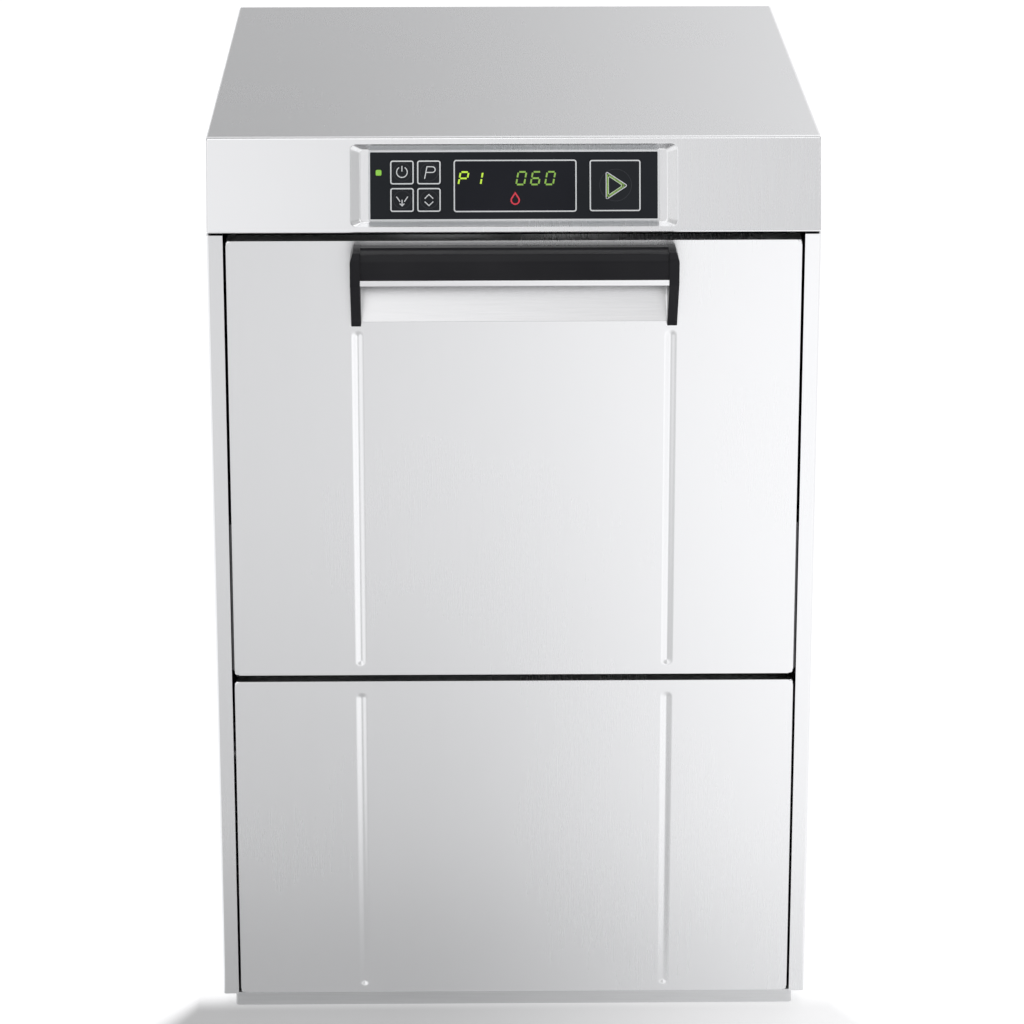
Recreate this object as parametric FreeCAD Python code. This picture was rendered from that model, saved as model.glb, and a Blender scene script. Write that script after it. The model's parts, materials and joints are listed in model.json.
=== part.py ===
import FreeCAD, Part
import math
import os

# Undercounter glasswasher, drop-down door, 400 x 400 mm rack.
# Origin: centre of the bounding box on the floor. +X to the right seen from the front,
# -Y is the front, +Z is up. Millimetres.

# ---- driving dimensions -------------------------------------------------------------
WIDTH = 460.0
HEIGHT = 700.0
DEPTH = 535.0                # door face to rear panel
HANDLE_REACH = 30.0          # how far the handle stands in front of the door face
SHEET = 1.2                  # steel sheet thickness of the casing
FRONT = -(DEPTH + HANDLE_REACH) / 2 + HANDLE_REACH    # y of the door face
REAR = FRONT + DEPTH
REAR_FACE = REAR - 1.6       # the rear panel; its screw heads reach the full depth
SCREW_HEIGHTS = (40.0, 190.0, 345.0, 500.0, 655.0)
SCREW_R = 2.0
HALF_WIDTH = WIDTH / 2

PLINTH_TOP = 12.0
LOWER_PANEL_TOP = 274.4
LOWER_PANEL_HALF = 216.0

DOOR_HALF = 215.8
DOOR_BOTTOM = 279.7
DOOR_TOP = 624.6
DOOR_THICKNESS = 34.0
HINGE_Y = FRONT + 14.0
HINGE_Z = 291.0
HINGE_PIN_R = 5.0
RUNNING_GAP = 0.05           # radial clearance of pins and spindles

FASCIA_BOTTOM = 630.4
FASCIA_TOP = HEIGHT - SHEET
FASCIA_LEAN = 19.6           # the top edge stands this far behind the bottom edge
FASCIA_DEPTH = 30.0

BEAD_X = 118.0               # the pressed beads stand this far each side of the middle
BEAD_WIDTH = 8.8
BEAD_DEPTH = 1.5

TUB_HALF = 205.0
TUB_FRONT = FRONT + 41.0
TUB_DEPTH = 410.0
TUB_FLOOR = 262.0
TUB_ROOF = 622.0
SILL = 302.0
TUB_HEAD = 616.0
CENTRE_Y = TUB_FRONT + TUB_DEPTH / 2
RACK_SIDE = 400.0
RACK_BASE = 314.0
RACK_HEIGHT = 110.0
RACK_WALL = 4.0
RACK_FLOOR = 5.0
RACK_SLOTS = 27              # drain slots side by side in the rack floor
RACK_PITCH = 14.0
RACK_SLOT = 9.0              # width of a slot
RACK_ROWS = 4
RACK_CORNER = 14.0
RACK_WINDOWS = ((14.0, 50.0), (60.0, 94.0))    # low and high edge of the wall slots

TANK_HALF = 150.0
TANK_WALL = 1.5
TANK_FLOOR = 165.0
SUMP_R = 55.0
SUMP_FLOOR = 128.0

X_AXIS = FreeCAD.Vector(1, 0, 0)
Y_AXIS = FreeCAD.Vector(0, 1, 0)
Z_AXIS = FreeCAD.Vector(0, 0, 1)

parts = {}


# ---- helpers ------------------------------------------------------------------------
def point(x, y, z):
    return FreeCAD.Vector(x, y, z)


def block(x0, x1, y0, y1, z0, z1):
    """A box between two corners."""
    return Part.makeBox(x1 - x0, y1 - y0, z1 - z0, point(x0, y0, z0))


def rod(x, y, z, radius, length, axis=Z_AXIS):
    """A cylinder that starts at a point and runs along an axis."""
    return Part.makeCylinder(radius, length, point(x, y, z), axis)


def tube(x, y, z, outer, inner, length, axis=Z_AXIS):
    return rod(x, y, z, outer, length, axis).cut(rod(x, y, z, inner, length, axis))


def side_profile(corners, x0, x1):
    """A prism along X from corners given as (y, z)."""
    outline = [point(x0, y, z) for y, z in corners]
    face = Part.Face(Part.makePolygon(outline + outline[:1]))
    return face.extrude(point(x1 - x0, 0, 0))


def rounded(shape, radius, direction, keep):
    """Rounds the straight edges along a direction whose middle passes the test."""
    chosen = []
    for edge in shape.Edges:
        if len(edge.Vertexes) != 2:
            continue
        run = edge.Vertexes[1].Point.sub(edge.Vertexes[0].Point)
        if run.Length < 0.5:
            continue
        along = abs(run.normalize().dot(direction)) > 0.999
        if along and keep(edge.CenterOfMass):
            chosen.append(edge)
    return shape.makeFillet(radius, chosen)


def both_sides(shape):
    """The shape and its mirror image across the middle plane."""
    return [shape, shape.mirror(point(0, 0, 0), X_AXIS)]


def hose(corners, outer, inner, bend):
    """A pipe through corner points, with tangent arcs in its bends."""
    spots = [point(*corner) for corner in corners]
    edges = []
    start = spots[0]
    for before, corner, after in zip(spots, spots[1:], spots[2:]):
        back = before.sub(corner).normalize()
        ahead = after.sub(corner).normalize()
        half_turn = (math.pi - back.getAngle(ahead)) / 2
        trim = bend * math.tan(half_turn)
        entry = corner.add(back.multiply(trim))
        leave = corner.add(ahead.multiply(trim))
        towards = entry.add(leave).multiply(0.5).sub(corner).normalize()
        apex = corner.add(towards.multiply(bend / math.cos(half_turn) - bend))
        edges.append(Part.LineSegment(start, entry).toShape())
        edges.append(Part.Arc(entry, apex, leave).toShape())
        start = leave
    edges.append(Part.LineSegment(start, spots[-1]).toShape())
    path = Part.Wire(edges)
    first = spots[1].sub(spots[0])
    solids = []
    for radius in (outer, inner):
        ring = Part.Wire(Part.makeCircle(radius, spots[0], first))
        solids.append(path.makePipeShell([ring], True, False))
    return solids[0].cut(solids[1])


def add(name, *shapes):
    """Stores one node; several solids of one node stay separate."""
    solids = []
    for shape in shapes:
        solids.extend(shape.Solids)
    parts[name] = solids[0] if len(solids) == 1 else Part.makeCompound(solids)


def bead(x, z0, z1, depth, width, face_y):
    """The hollow that a pressed bead makes: a shallow trough with sloping flanks and ends."""
    half = width / 2
    flank = half * 0.7
    sections = []
    for y, inset in ((face_y, 0.0), (face_y + depth, flank)):
        corners = [(x - half + inset, z0 + inset), (x + half - inset, z0 + inset),
                   (x + half - inset, z1 - inset), (x - half + inset, z1 - inset)]
        outline = [point(cx, y, cz) for cx, cz in corners]
        sections.append(Part.makePolygon(outline + outline[:1]))
    return Part.makeLoft(sections, True, True)


def press_beads(skin, z0, z1, face_y):
    """Presses the two vertical beads into a flat front skin."""
    for x in (-BEAD_X, BEAD_X):
        ridge = bead(x, z0 - SHEET, z1 + SHEET, BEAD_DEPTH + SHEET, BEAD_WIDTH + 2 * SHEET, face_y)
        skin = skin.fuse(ridge)
        skin = skin.cut(bead(x, z0, z1, BEAD_DEPTH, BEAD_WIDTH, face_y))
    return skin


# ---- base, feet and casing ----------------------------------------------------------
FOOT_X = 185.0
FOOT_FRONT_Y = FRONT + 60.0
FOOT_REAR_Y = REAR - 55.0
FOOT_STUD_R = 6.0
FOOT_PAD_R = 20.0
FOOT_PAD_HEIGHT = 8.0
NUT_TOP = 24.0
PLINTH_HALF = 220.5
PLINTH_FRONT = FRONT + 3.0
PLINTH_REAR = REAR - 6.0
PLINTH_WALL = 1.5
VENT_PITCH = 22.0
VENT_HALF = 3.0
FOOT_PLACES = {
    "front_left": (-FOOT_X, FOOT_FRONT_Y),
    "front_right": (FOOT_X, FOOT_FRONT_Y),
    "rear_left": (-FOOT_X, FOOT_REAR_Y),
    "rear_right": (FOOT_X, FOOT_REAR_Y),
}


def make_base():
    tray = block(-PLINTH_HALF, PLINTH_HALF, PLINTH_FRONT, PLINTH_REAR, 1, PLINTH_TOP)
    tray = rounded(tray, 3, Z_AXIS, lambda c: True)
    inside = block(-PLINTH_HALF + PLINTH_WALL, PLINTH_HALF - PLINTH_WALL, PLINTH_FRONT + PLINTH_WALL,
                   PLINTH_REAR - PLINTH_WALL, 0, PLINTH_TOP - PLINTH_WALL)
    tray = tray.cut(inside)
    for x, y in FOOT_PLACES.values():
        tray = tray.fuse(rod(x, y, PLINTH_TOP - 1, 14, NUT_TOP - PLINTH_TOP + 1))
        tray = tray.cut(rod(x, y, 0, FOOT_STUD_R + RUNNING_GAP, NUT_TOP + 1))
    for column in range(-3, 4):
        vent_x = column * VENT_PITCH
        tray = tray.cut(block(vent_x - VENT_HALF, vent_x + VENT_HALF, -40, 60, 0, PLINTH_TOP + 1))
    post = block(SPRING_X - 6, SPRING_X + 0.4, SPRING_Y - 6, SPRING_Y + 6, PLINTH_TOP - 1, SPRING_BOTTOM)
    tray = tray.fuse(both_sides(post))
    add("base_tray", tray)
    for corner, (x, y) in FOOT_PLACES.items():
        pad = rod(x, y, 0, FOOT_PAD_R, FOOT_PAD_HEIGHT)
        pad = pad.makeFillet(2, [edge for edge in pad.Edges if edge.Curve.TypeId == "Part::GeomCircle"])
        stud = rod(x, y, FOOT_PAD_HEIGHT, FOOT_STUD_R, 46 - FOOT_PAD_HEIGHT)
        add("foot_" + corner, pad.fuse(stud))


def make_side_panels():
    inner_x = HALF_WIDTH - SHEET
    corners = [(FRONT, PLINTH_TOP), (FRONT, FASCIA_BOTTOM - 1.4),
               (FRONT + FASCIA_DEPTH, FASCIA_BOTTOM - 1.4),
               (FRONT + FASCIA_DEPTH, HEIGHT - 12.4), (REAR_FACE - SHEET, HEIGHT - 12.4),
               (REAR_FACE - SHEET, PLINTH_TOP)]
    outer = side_profile(corners, inner_x - 10.8, HALF_WIDTH)
    outer = rounded(outer, 2, Z_AXIS, lambda c: c.x > inner_x and c.y < FRONT + 1)
    hollow = block(inner_x - 20, inner_x, FRONT + SHEET, REAR_FACE - 2 * SHEET, PLINTH_TOP + SHEET, HEIGHT)
    panel = outer.cut(hollow)
    for z in SCREW_HEIGHTS:
        panel = panel.cut(rod(REAR_SCREW_X, REAR_FACE - 8, z, SCREW_R, 10, Y_AXIS))
    left, right = both_sides(panel)[::-1]
    add("side_panel_left", left)
    add("side_panel_right", right)


def make_top_panel():
    top = block(-HALF_WIDTH, HALF_WIDTH, FRONT + FASCIA_LEAN + 0.6, REAR, HEIGHT - 12, HEIGHT)
    top = rounded(top, 2, Y_AXIS, lambda c: c.z > HEIGHT - 1)
    hollow = block(-HALF_WIDTH + SHEET, HALF_WIDTH - SHEET, FRONT, REAR - SHEET, 0, HEIGHT - SHEET)
    notch = block(-HALF_WIDTH - 1, HALF_WIDTH + 1, FRONT, FRONT + FASCIA_DEPTH + 0.4, 0, HEIGHT - SHEET)
    add("top_panel", top.cut(hollow).cut(notch))


REAR_SCREW_X = HALF_WIDTH - 9.6
SERVICE_X0 = 20.0
SERVICE_X1 = 205.0
SERVICE_Z0 = 26.0
SERVICE_Z1 = 126.0
SERVICE_DEPTH = 42.0
INLET_X = 180.0
INLET_Z = 82.0
DRAIN_X = 135.0
DRAIN_Z = 70.0
CABLE_X = 60.0
CABLE_Z = 82.0
LOUVRE_COUNT = 8
LOUVRE_PITCH = 12.0
LOUVRE_BOTTOM = 560.0
LOUVRE_HALF = 90.0
LOUVRE_HEIGHT = 4.0


def make_rear_panel():
    half = HALF_WIDTH - SHEET - 0.4
    low = PLINTH_TOP
    plate = block(-half, half, REAR_FACE - SHEET, REAR_FACE, low, HEIGHT - 12.6)
    pocket = block(SERVICE_X0 - SHEET, SERVICE_X1 + SHEET, REAR - SERVICE_DEPTH - SHEET, REAR_FACE,
                   SERVICE_Z0 - SHEET, SERVICE_Z1 + SHEET)
    plate = plate.fuse(pocket)
    plate = plate.cut(block(SERVICE_X0, SERVICE_X1, REAR - SERVICE_DEPTH, REAR + 1,
                            SERVICE_Z0, SERVICE_Z1))
    wall_y = REAR - SERVICE_DEPTH - 5
    for x, z, radius in ((INLET_X, INLET_Z, 13.6), (DRAIN_X, DRAIN_Z, 10.6), (CABLE_X, CABLE_Z, 8.2)):
        plate = plate.cut(rod(x, wall_y, z, radius, 10, Y_AXIS))
    for row in range(LOUVRE_COUNT):
        slot_z = LOUVRE_BOTTOM + row * LOUVRE_PITCH
        plate = plate.cut(block(-LOUVRE_HALF, LOUVRE_HALF, REAR - 6, REAR + 1,
                                slot_z, slot_z + LOUVRE_HEIGHT))
    screws = []
    for z in SCREW_HEIGHTS:
        for x in (-REAR_SCREW_X, REAR_SCREW_X):
            shank = rod(x, REAR_FACE - 7, z, SCREW_R, 7, Y_AXIS)
            plate = plate.cut(shank)
            screws.append(shank.fuse(rod(x, REAR_FACE, z, 4, REAR - REAR_FACE, Y_AXIS)))
    add("rear_panel", plate)
    add("rear_screws", *screws)


def make_lower_panel():
    half = LOWER_PANEL_HALF
    skin = block(-half, half, FRONT, FRONT + 12, PLINTH_TOP, LOWER_PANEL_TOP)
    skin = rounded(skin, 2, Z_AXIS, lambda c: c.y < FRONT + 1)
    skin = rounded(skin, 1.5, X_AXIS, lambda c: c.y < FRONT + 3 and c.z > LOWER_PANEL_TOP - 1)
    skin = skin.cut(block(-half + SHEET, half - SHEET, FRONT + SHEET, FRONT + 13,
                          PLINTH_TOP + SHEET, LOWER_PANEL_TOP - SHEET))
    skin = skin.cut(block(-half - 1, half + 1, FRONT + 5, FRONT + 13,
                          LOWER_PANEL_TOP - 20, LOWER_PANEL_TOP + 1))
    skin = press_beads(skin, 18, 265, FRONT)
    add("lower_front_panel", skin)


# ---- fascia and controls ------------------------------------------------------------
LEAN_ANGLE = math.degrees(math.atan2(FASCIA_LEAN, FASCIA_TOP - FASCIA_BOTTOM))
DISH_HALF = 121.8
DISH_HEIGHT = 61.0
DISH_DEPTH = 5.0
DISH_FLOOR_HALF = 115.2
DISH_FLOOR_HEIGHT = 54.0
PANEL_HALF = 108.5
PANEL_HEIGHT = 52.0
PANEL_THICKNESS = 2.5
KEY_PROUD = 0.4
KEY_TRAVEL = 0.5
KEY_GAP = 0.3
# name: middle along x, middle up the slope, width, height
KEYS = {
    "key_power": (-83.7, 9.9, 18.2, 18.4),
    "key_program": (-63.6, 9.9, 18.2, 18.4),
    "key_drain": (-83.7, -10.6, 18.2, 18.4),
    "key_select": (-63.6, -10.6, 18.2, 18.4),
    "key_start": (75.65, -0.3, 38.7, 38.9),
}
DISPLAY = (0.9, -0.3, 92.0, 39.0)
LIGHT = (-101.2, 9.8, 4.5, 4.5)


def on_slope(shape):
    """Places a shape drawn on an upright plane (y = 0) onto the leaning fascia face."""
    placed = shape.copy()
    placed.rotate(point(0, 0, 0), X_AXIS, -LEAN_ANGLE)
    placed.translate(point(0, FRONT + FASCIA_LEAN / 2, (FASCIA_TOP + FASCIA_BOTTOM) / 2))
    return placed


def pad(middle_x, middle_z, width, height, y0, y1, corner=0.0):
    """A plate on the upright drawing plane, between two depths."""
    plate = block(middle_x - width / 2, middle_x + width / 2, y0, y1,
                  middle_z - height / 2, middle_z + height / 2)
    if corner:
        plate = rounded(plate, corner, Y_AXIS, lambda c: True)
    return plate


def dish(grow, start, depth):
    """The pressed recess in the fascia: a shallow tray with sloping walls."""
    sections = []
    for y, half, height in ((start, DISH_HALF, DISH_HEIGHT),
                            (depth, DISH_FLOOR_HALF, DISH_FLOOR_HEIGHT)):
        plate = pad(0, 0, 2 * (half + grow), height + 2 * grow, y, y + 1, 4)
        face = min(plate.Faces, key=lambda f: f.CenterOfMass.y)
        sections.append(face.OuterWire)
    return Part.makeLoft(sections, True, True)


def make_fascia():
    back = FRONT + FASCIA_DEPTH
    outer = side_profile([(FRONT, FASCIA_BOTTOM), (FRONT + FASCIA_LEAN, FASCIA_TOP),
                          (back, FASCIA_TOP), (back, FASCIA_BOTTOM)], -HALF_WIDTH, HALF_WIDTH)
    outer = rounded(outer, 1.5, X_AXIS, lambda c: c.y < back - 5)
    inner = side_profile([(FRONT + SHEET + 0.4, FASCIA_BOTTOM + SHEET),
                          (FRONT + FASCIA_LEAN + SHEET, FASCIA_TOP - SHEET),
                          (back + 1, FASCIA_TOP - SHEET), (back + 1, FASCIA_BOTTOM + SHEET)],
                         -HALF_WIDTH + SHEET, HALF_WIDTH - SHEET)
    shell = outer.cut(inner)
    shell = shell.fuse(on_slope(dish(SHEET, 0.4, DISH_DEPTH + SHEET)))
    shell = shell.cut(on_slope(dish(0, -0.01, DISH_DEPTH)))
    window = pad(0, 0, 2 * PANEL_HALF - 8, PANEL_HEIGHT - 8, DISH_DEPTH - 1, DISH_DEPTH + 3)
    add("fascia", shell.cut(on_slope(window)))


def make_controls():
    front = DISH_DEPTH - PANEL_THICKNESS
    panel = pad(0, 0, 2 * PANEL_HALF, PANEL_HEIGHT, front, DISH_DEPTH, 1.5)
    for middle_x, middle_z, width, height in list(KEYS.values()) + [DISPLAY, LIGHT]:
        panel = panel.cut(pad(middle_x, middle_z, width, height, front - 1, DISH_DEPTH + 1, 1))
    add("control_panel", on_slope(panel))
    board_y = 12.0
    switches = []
    for name, (middle_x, middle_z, width, height) in KEYS.items():
        cap = pad(middle_x, middle_z, width - 2 * KEY_GAP, height - 2 * KEY_GAP,
                  front - KEY_PROUD, DISH_DEPTH - 0.2, 1)
        flange = pad(middle_x, middle_z, width + 0.8, height + 0.8, DISH_DEPTH + 0.3, DISH_DEPTH + 1.3)
        neck = pad(middle_x, middle_z, width - 3, height - 3, DISH_DEPTH - 0.5, DISH_DEPTH + 0.5)
        stem = pad(middle_x, middle_z, 5, 5, DISH_DEPTH + 1, DISH_DEPTH + 3)
        add(name, on_slope(cap.fuse([neck, flange, stem])))
        switches.append(on_slope(pad(middle_x, middle_z, 7, 7, DISH_DEPTH + 3 + KEY_TRAVEL + 0.3, board_y)))
    middle_x, middle_z, width, height = DISPLAY
    window = pad(middle_x, middle_z, width - 0.2, height - 0.2, front, DISH_DEPTH, 1)
    add("display_window", on_slope(window))
    screen = pad(middle_x, middle_z, width - 12, height - 10, DISH_DEPTH + 0.1, board_y)
    middle_x, middle_z, width, height = LIGHT
    lens = pad(middle_x, middle_z, width - 0.2, height - 0.2, front - 0.1, DISH_DEPTH + 1, 1)
    add("status_light", on_slope(lens))
    board = pad(0, 0, 2 * PANEL_HALF - 14, PANEL_HEIGHT - 12, board_y, board_y + 1.6)
    add("control_board", on_slope(board).fuse(switches + [on_slope(screen)]))


# ---- door ---------------------------------------------------------------------------
GASKET_FRONT = FRONT + DOOR_THICKNESS + 0.4
LINER_HALF = 211.5
LINER_BOTTOM = HINGE_Z - 0.2
LINER_TOP = 620.0
ARM_INNER_X = DOOR_HALF
ARM_THICKNESS = 1.8
SPRING_X = ARM_INNER_X + ARM_THICKNESS / 2
SPRING_Y = HINGE_Y + 45.0
SPRING_RADIUS = 7.0
SPRING_WIRE = 1.2
SPRING_TURNS = 16
SPRING_PITCH = 9.0
SPRING_BOTTOM = 62.0
HANDLE_HALF = 122.5
CAP_WIDTH = 7.5
GRIP_HALF = HANDLE_HALF - CAP_WIDTH
HANDLE_BOTTOM = 559.5
HANDLE_TOP = 621.6
SCOOP_BOTTOM = 563.0
SCOOP_TOP = 616.0
SCOOP_DEPTH = 12.0
GRIP_BOTTOM = 601.0
GRIP_THICKNESS = 5.5
LIP_BOTTOM = 596.4


def scoop_outline(grow):
    """Side outline of the finger scoop, as (y, z), grown outwards by a sheet."""
    return [(FRONT - 0.01, SCOOP_BOTTOM - grow), (FRONT + SCOOP_DEPTH + grow, SCOOP_BOTTOM + 35 - grow),
            (FRONT + SCOOP_DEPTH + grow, SCOOP_TOP + grow), (FRONT - 0.01, SCOOP_TOP + grow)]


def make_door():
    skin = block(-DOOR_HALF, DOOR_HALF, FRONT, FRONT + 20, DOOR_BOTTOM, DOOR_TOP)
    skin = rounded(skin, 2, Y_AXIS, lambda c: c.z > DOOR_TOP - 1)
    skin = rounded(skin, 1.5, Z_AXIS, lambda c: c.y < FRONT + 1)
    skin = skin.cut(block(-DOOR_HALF + SHEET, DOOR_HALF - SHEET, FRONT + SHEET, FRONT + 21,
                          DOOR_BOTTOM + SHEET, DOOR_TOP - SHEET))
    skin = skin.cut(block(-DOOR_HALF - 1, DOOR_HALF + 1, FRONT + 8, FRONT + 21,
                          DOOR_BOTTOM - 1, DOOR_BOTTOM + 5))
    skin = press_beads(skin, 287, 555, FRONT)
    skin = skin.cut(side_profile(scoop_outline(SHEET), -GRIP_HALF - SHEET, GRIP_HALF + SHEET))
    add("door_outer_skin", skin)

    back = FRONT + DOOR_THICKNESS
    liner = block(-LINER_HALF, LINER_HALF, FRONT + 17, back, LINER_BOTTOM, LINER_TOP)
    liner = rounded(liner, 6, Y_AXIS, lambda c: True)
    hollow = block(-LINER_HALF + SHEET, LINER_HALF - SHEET, FRONT + 16, back - SHEET,
                   LINER_BOTTOM + SHEET, LINER_TOP - SHEET)
    liner = liner.cut(rounded(hollow, 5, Y_AXIS, lambda c: True))
    ridge = side_profile([(back, 334), (back - 5.2, 344), (back - 5.2, 582), (back, 592)], -152, 152)
    hollow = side_profile([(back + 0.01, 336), (back - 4, 345), (back - 4, 581), (back + 0.01, 590)],
                          -150, 150)
    liner = liner.fuse(ridge).cut(hollow)
    add("door_inner_liner", liner)

    arm = side_profile([(HINGE_Y - 10, HINGE_Z - 8), (HINGE_Y + 6, HINGE_Z - 8),
                        (SPRING_Y + 6, HINGE_Z - 5), (SPRING_Y + 6, HINGE_Z + 6),
                        (HINGE_Y + 18, HINGE_Z + 12), (HINGE_Y + 4, HINGE_Z + 110),
                        (HINGE_Y - 10, HINGE_Z + 110)],
                       ARM_INNER_X, ARM_INNER_X + ARM_THICKNESS)
    arm = arm.cut(rod(ARM_INNER_X - 1, HINGE_Y, HINGE_Z, HINGE_PIN_R + RUNNING_GAP, 5, X_AXIS))
    arm = arm.cut(rod(ARM_INNER_X - 1, SPRING_Y, HINGE_Z, 2, 5, X_AXIS))
    add("hinge_arms", *both_sides(arm))

    bracket = block(222, HALF_WIDTH - SHEET, HINGE_Y - 9, HINGE_Y + 60, HINGE_Z - 26, HINGE_Z + 26)
    bracket = rounded(bracket, 6, X_AXIS, lambda c: True)
    pin = rod(ARM_INNER_X + 0.3, HINGE_Y, HINGE_Z, HINGE_PIN_R, 222 - ARM_INNER_X, X_AXIS)
    shoulder = rod(ARM_INNER_X + ARM_THICKNESS + 0.4, HINGE_Y, HINGE_Z, 8, 3, X_AXIS)
    add("hinge_brackets", *both_sides(bracket.fuse([pin, shoulder])))

    coil_bottom = SPRING_BOTTOM + 14
    coil_height = SPRING_TURNS * SPRING_PITCH
    helix = Part.makeHelix(SPRING_PITCH, coil_height, SPRING_RADIUS)
    helix.translate(point(SPRING_X, SPRING_Y, coil_bottom))
    start = point(SPRING_X + SPRING_RADIUS, SPRING_Y, coil_bottom)
    ring = Part.Wire(Part.makeCircle(SPRING_WIRE, start, Y_AXIS))
    coil = Part.Wire(helix.Edges).makePipeShell([ring], True, True)
    lower_hook = rod(SPRING_X, SPRING_Y, SPRING_BOTTOM, 1.6, 14)
    lower_plug = rod(SPRING_X, SPRING_Y, coil_bottom - 2, SPRING_RADIUS + 1.6, 6)
    coil_top = coil_bottom + coil_height
    upper_plug = rod(SPRING_X, SPRING_Y, coil_top - 4, SPRING_RADIUS + 1.6, 6)
    upper_hook = rod(SPRING_X, SPRING_Y, coil_top, 1.6, HINGE_Z - 6 - coil_top)
    spring = coil.fuse([lower_plug, lower_hook, upper_plug, upper_hook])
    add("door_springs", *both_sides(spring))

    ring = block(-212, 212, GASKET_FRONT, TUB_FRONT, SILL - 10, TUB_HEAD + 7)
    ring = rounded(ring, 8, Y_AXIS, lambda c: True)
    hole = block(-TUB_HALF - 1, TUB_HALF + 1, GASKET_FRONT - 1, TUB_FRONT + 1, SILL - 3, TUB_HEAD + 1)
    add("door_gasket", ring.cut(rounded(hole, 5, Y_AXIS, lambda c: True)))

    add("door_magnet", block(150, 180, FRONT + 18, FRONT + 24, LINER_TOP - 7.5, LINER_TOP - SHEET))
    add("door_sensor", block(150, 180, FRONT + 50, FRONT + 62, TUB_ROOF + 1.5, TUB_ROOF + 9))


def make_handle():
    reach = FRONT - HANDLE_REACH
    cap = side_profile([(FRONT, HANDLE_BOTTOM), (FRONT - 5, HANDLE_BOTTOM), (FRONT - 7, 564),
                        (reach, 598), (reach, 617), (reach + 4, HANDLE_TOP), (FRONT, HANDLE_TOP)],
                       GRIP_HALF, HANDLE_HALF)
    chamfer = side_profile([(reach - 1, 0), (FRONT + 1, 0), (FRONT + 1, 7), (reach - 1, 7)], 0, 3)
    chamfer.rotate(point(0, 0, 0), Y_AXIS, -18)
    chamfer.translate(point(HANDLE_HALF, 0, HANDLE_TOP - 6.5))
    add("handle_caps", *both_sides(cap.cut(chamfer)))

    front = reach + 1.0
    grip = side_profile([(FRONT, HANDLE_TOP - 5), (FRONT, HANDLE_TOP - 1),
                         (front + 4, HANDLE_TOP - 1), (front, HANDLE_TOP - 5),
                         (front, GRIP_BOTTOM), (front + GRIP_THICKNESS, GRIP_BOTTOM),
                         (front + GRIP_THICKNESS, HANDLE_TOP - 9), (front + 12, HANDLE_TOP - 5)],
                        -GRIP_HALF, GRIP_HALF)
    grip = rounded(grip, 1.5, X_AXIS, lambda c: c.y < front + 5 and c.z > 610)
    add("handle_grip", grip)
    lip = side_profile([(front + 0.6, LIP_BOTTOM), (front + 0.6, GRIP_BOTTOM),
                        (front + GRIP_THICKNESS, GRIP_BOTTOM), (front + GRIP_THICKNESS, GRIP_BOTTOM + 6),
                        (front + GRIP_THICKNESS + 1.6, GRIP_BOTTOM + 6),
                        (front + GRIP_THICKNESS + 1.6, LIP_BOTTOM)], -GRIP_HALF, GRIP_HALF)
    add("handle_lip", lip)

    outer = side_profile(scoop_outline(SHEET), -GRIP_HALF - SHEET, GRIP_HALF + SHEET)
    inner = side_profile(scoop_outline(0), -GRIP_HALF, GRIP_HALF)
    trim = block(-GRIP_HALF - 2, GRIP_HALF + 2, FRONT, FRONT + 30, 550, 630)
    add("handle_scoop", outer.cut(inner).common(trim))
    screws = []
    for z in (568.0, 610.0):
        screw = rod(GRIP_HALF + 4.5, FRONT, z, 2.5, 8, Y_AXIS)
        head = rod(GRIP_HALF + 4.5, FRONT + SHEET, z, 3.2, 3, Y_AXIS)
        screws.append(screw.fuse(head))
    pierced = parts["door_outer_skin"]
    cap_screws = []
    for screw in screws:
        cap_screws.extend(both_sides(screw))
    for screw in cap_screws:
        pierced = pierced.cut(screw)
    add("door_outer_skin", pierced)
    add("handle_screws", *cap_screws)


# ---- wash chamber, tank, rack and arms ----------------------------------------------
SPINDLE_R = 9.0
HUB_GAP = 0.5                # end float between a hub and its neighbours
WASH_HUB_HEIGHT = 17.0
RINSE_HUB_HEIGHT = 11.0
WASH_ARM_REACH = 178.0
RINSE_ARM_REACH = 168.0
LOWER_FLANGE_TOP = 270.0
UPPER_FLANGE_BOTTOM = 614.0
FILTER_PITCH = 12.0
FILTER_SLOT_HALF = 3.0
STRAINER_R = 46.0
STRAINER_WINDOWS = 12
RAIL_TOP = RACK_BASE


def make_tub():
    tub = block(-TUB_HALF - SHEET, TUB_HALF + SHEET, TUB_FRONT, TUB_FRONT + TUB_DEPTH + SHEET,
                TUB_FLOOR - SHEET, TUB_ROOF + SHEET)
    tub = tub.fuse(block(-214, 214, TUB_FRONT, TUB_FRONT + SHEET, SILL - 12, TUB_ROOF + 4))
    room = block(-TUB_HALF, TUB_HALF, TUB_FRONT + SHEET, TUB_FRONT + TUB_DEPTH, TUB_FLOOR, TUB_ROOF)
    tub = tub.cut(rounded(room, 12, Z_AXIS, lambda c: c.y > 0))
    mouth = block(-TUB_HALF + 2, TUB_HALF - 2, TUB_FRONT - 1, TUB_FRONT + 3, SILL, TUB_HEAD)
    tub = tub.cut(rounded(mouth, 5, Y_AXIS, lambda c: True))
    tub = tub.cut(block(-TANK_HALF, TANK_HALF, CENTRE_Y - TANK_HALF, CENTRE_Y + TANK_HALF,
                        TUB_FLOOR - 3, TUB_FLOOR + 1))
    tub = tub.cut(rod(0, CENTRE_Y, TUB_ROOF - 1, 10, 5))
    add("wash_tub", tub)


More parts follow.
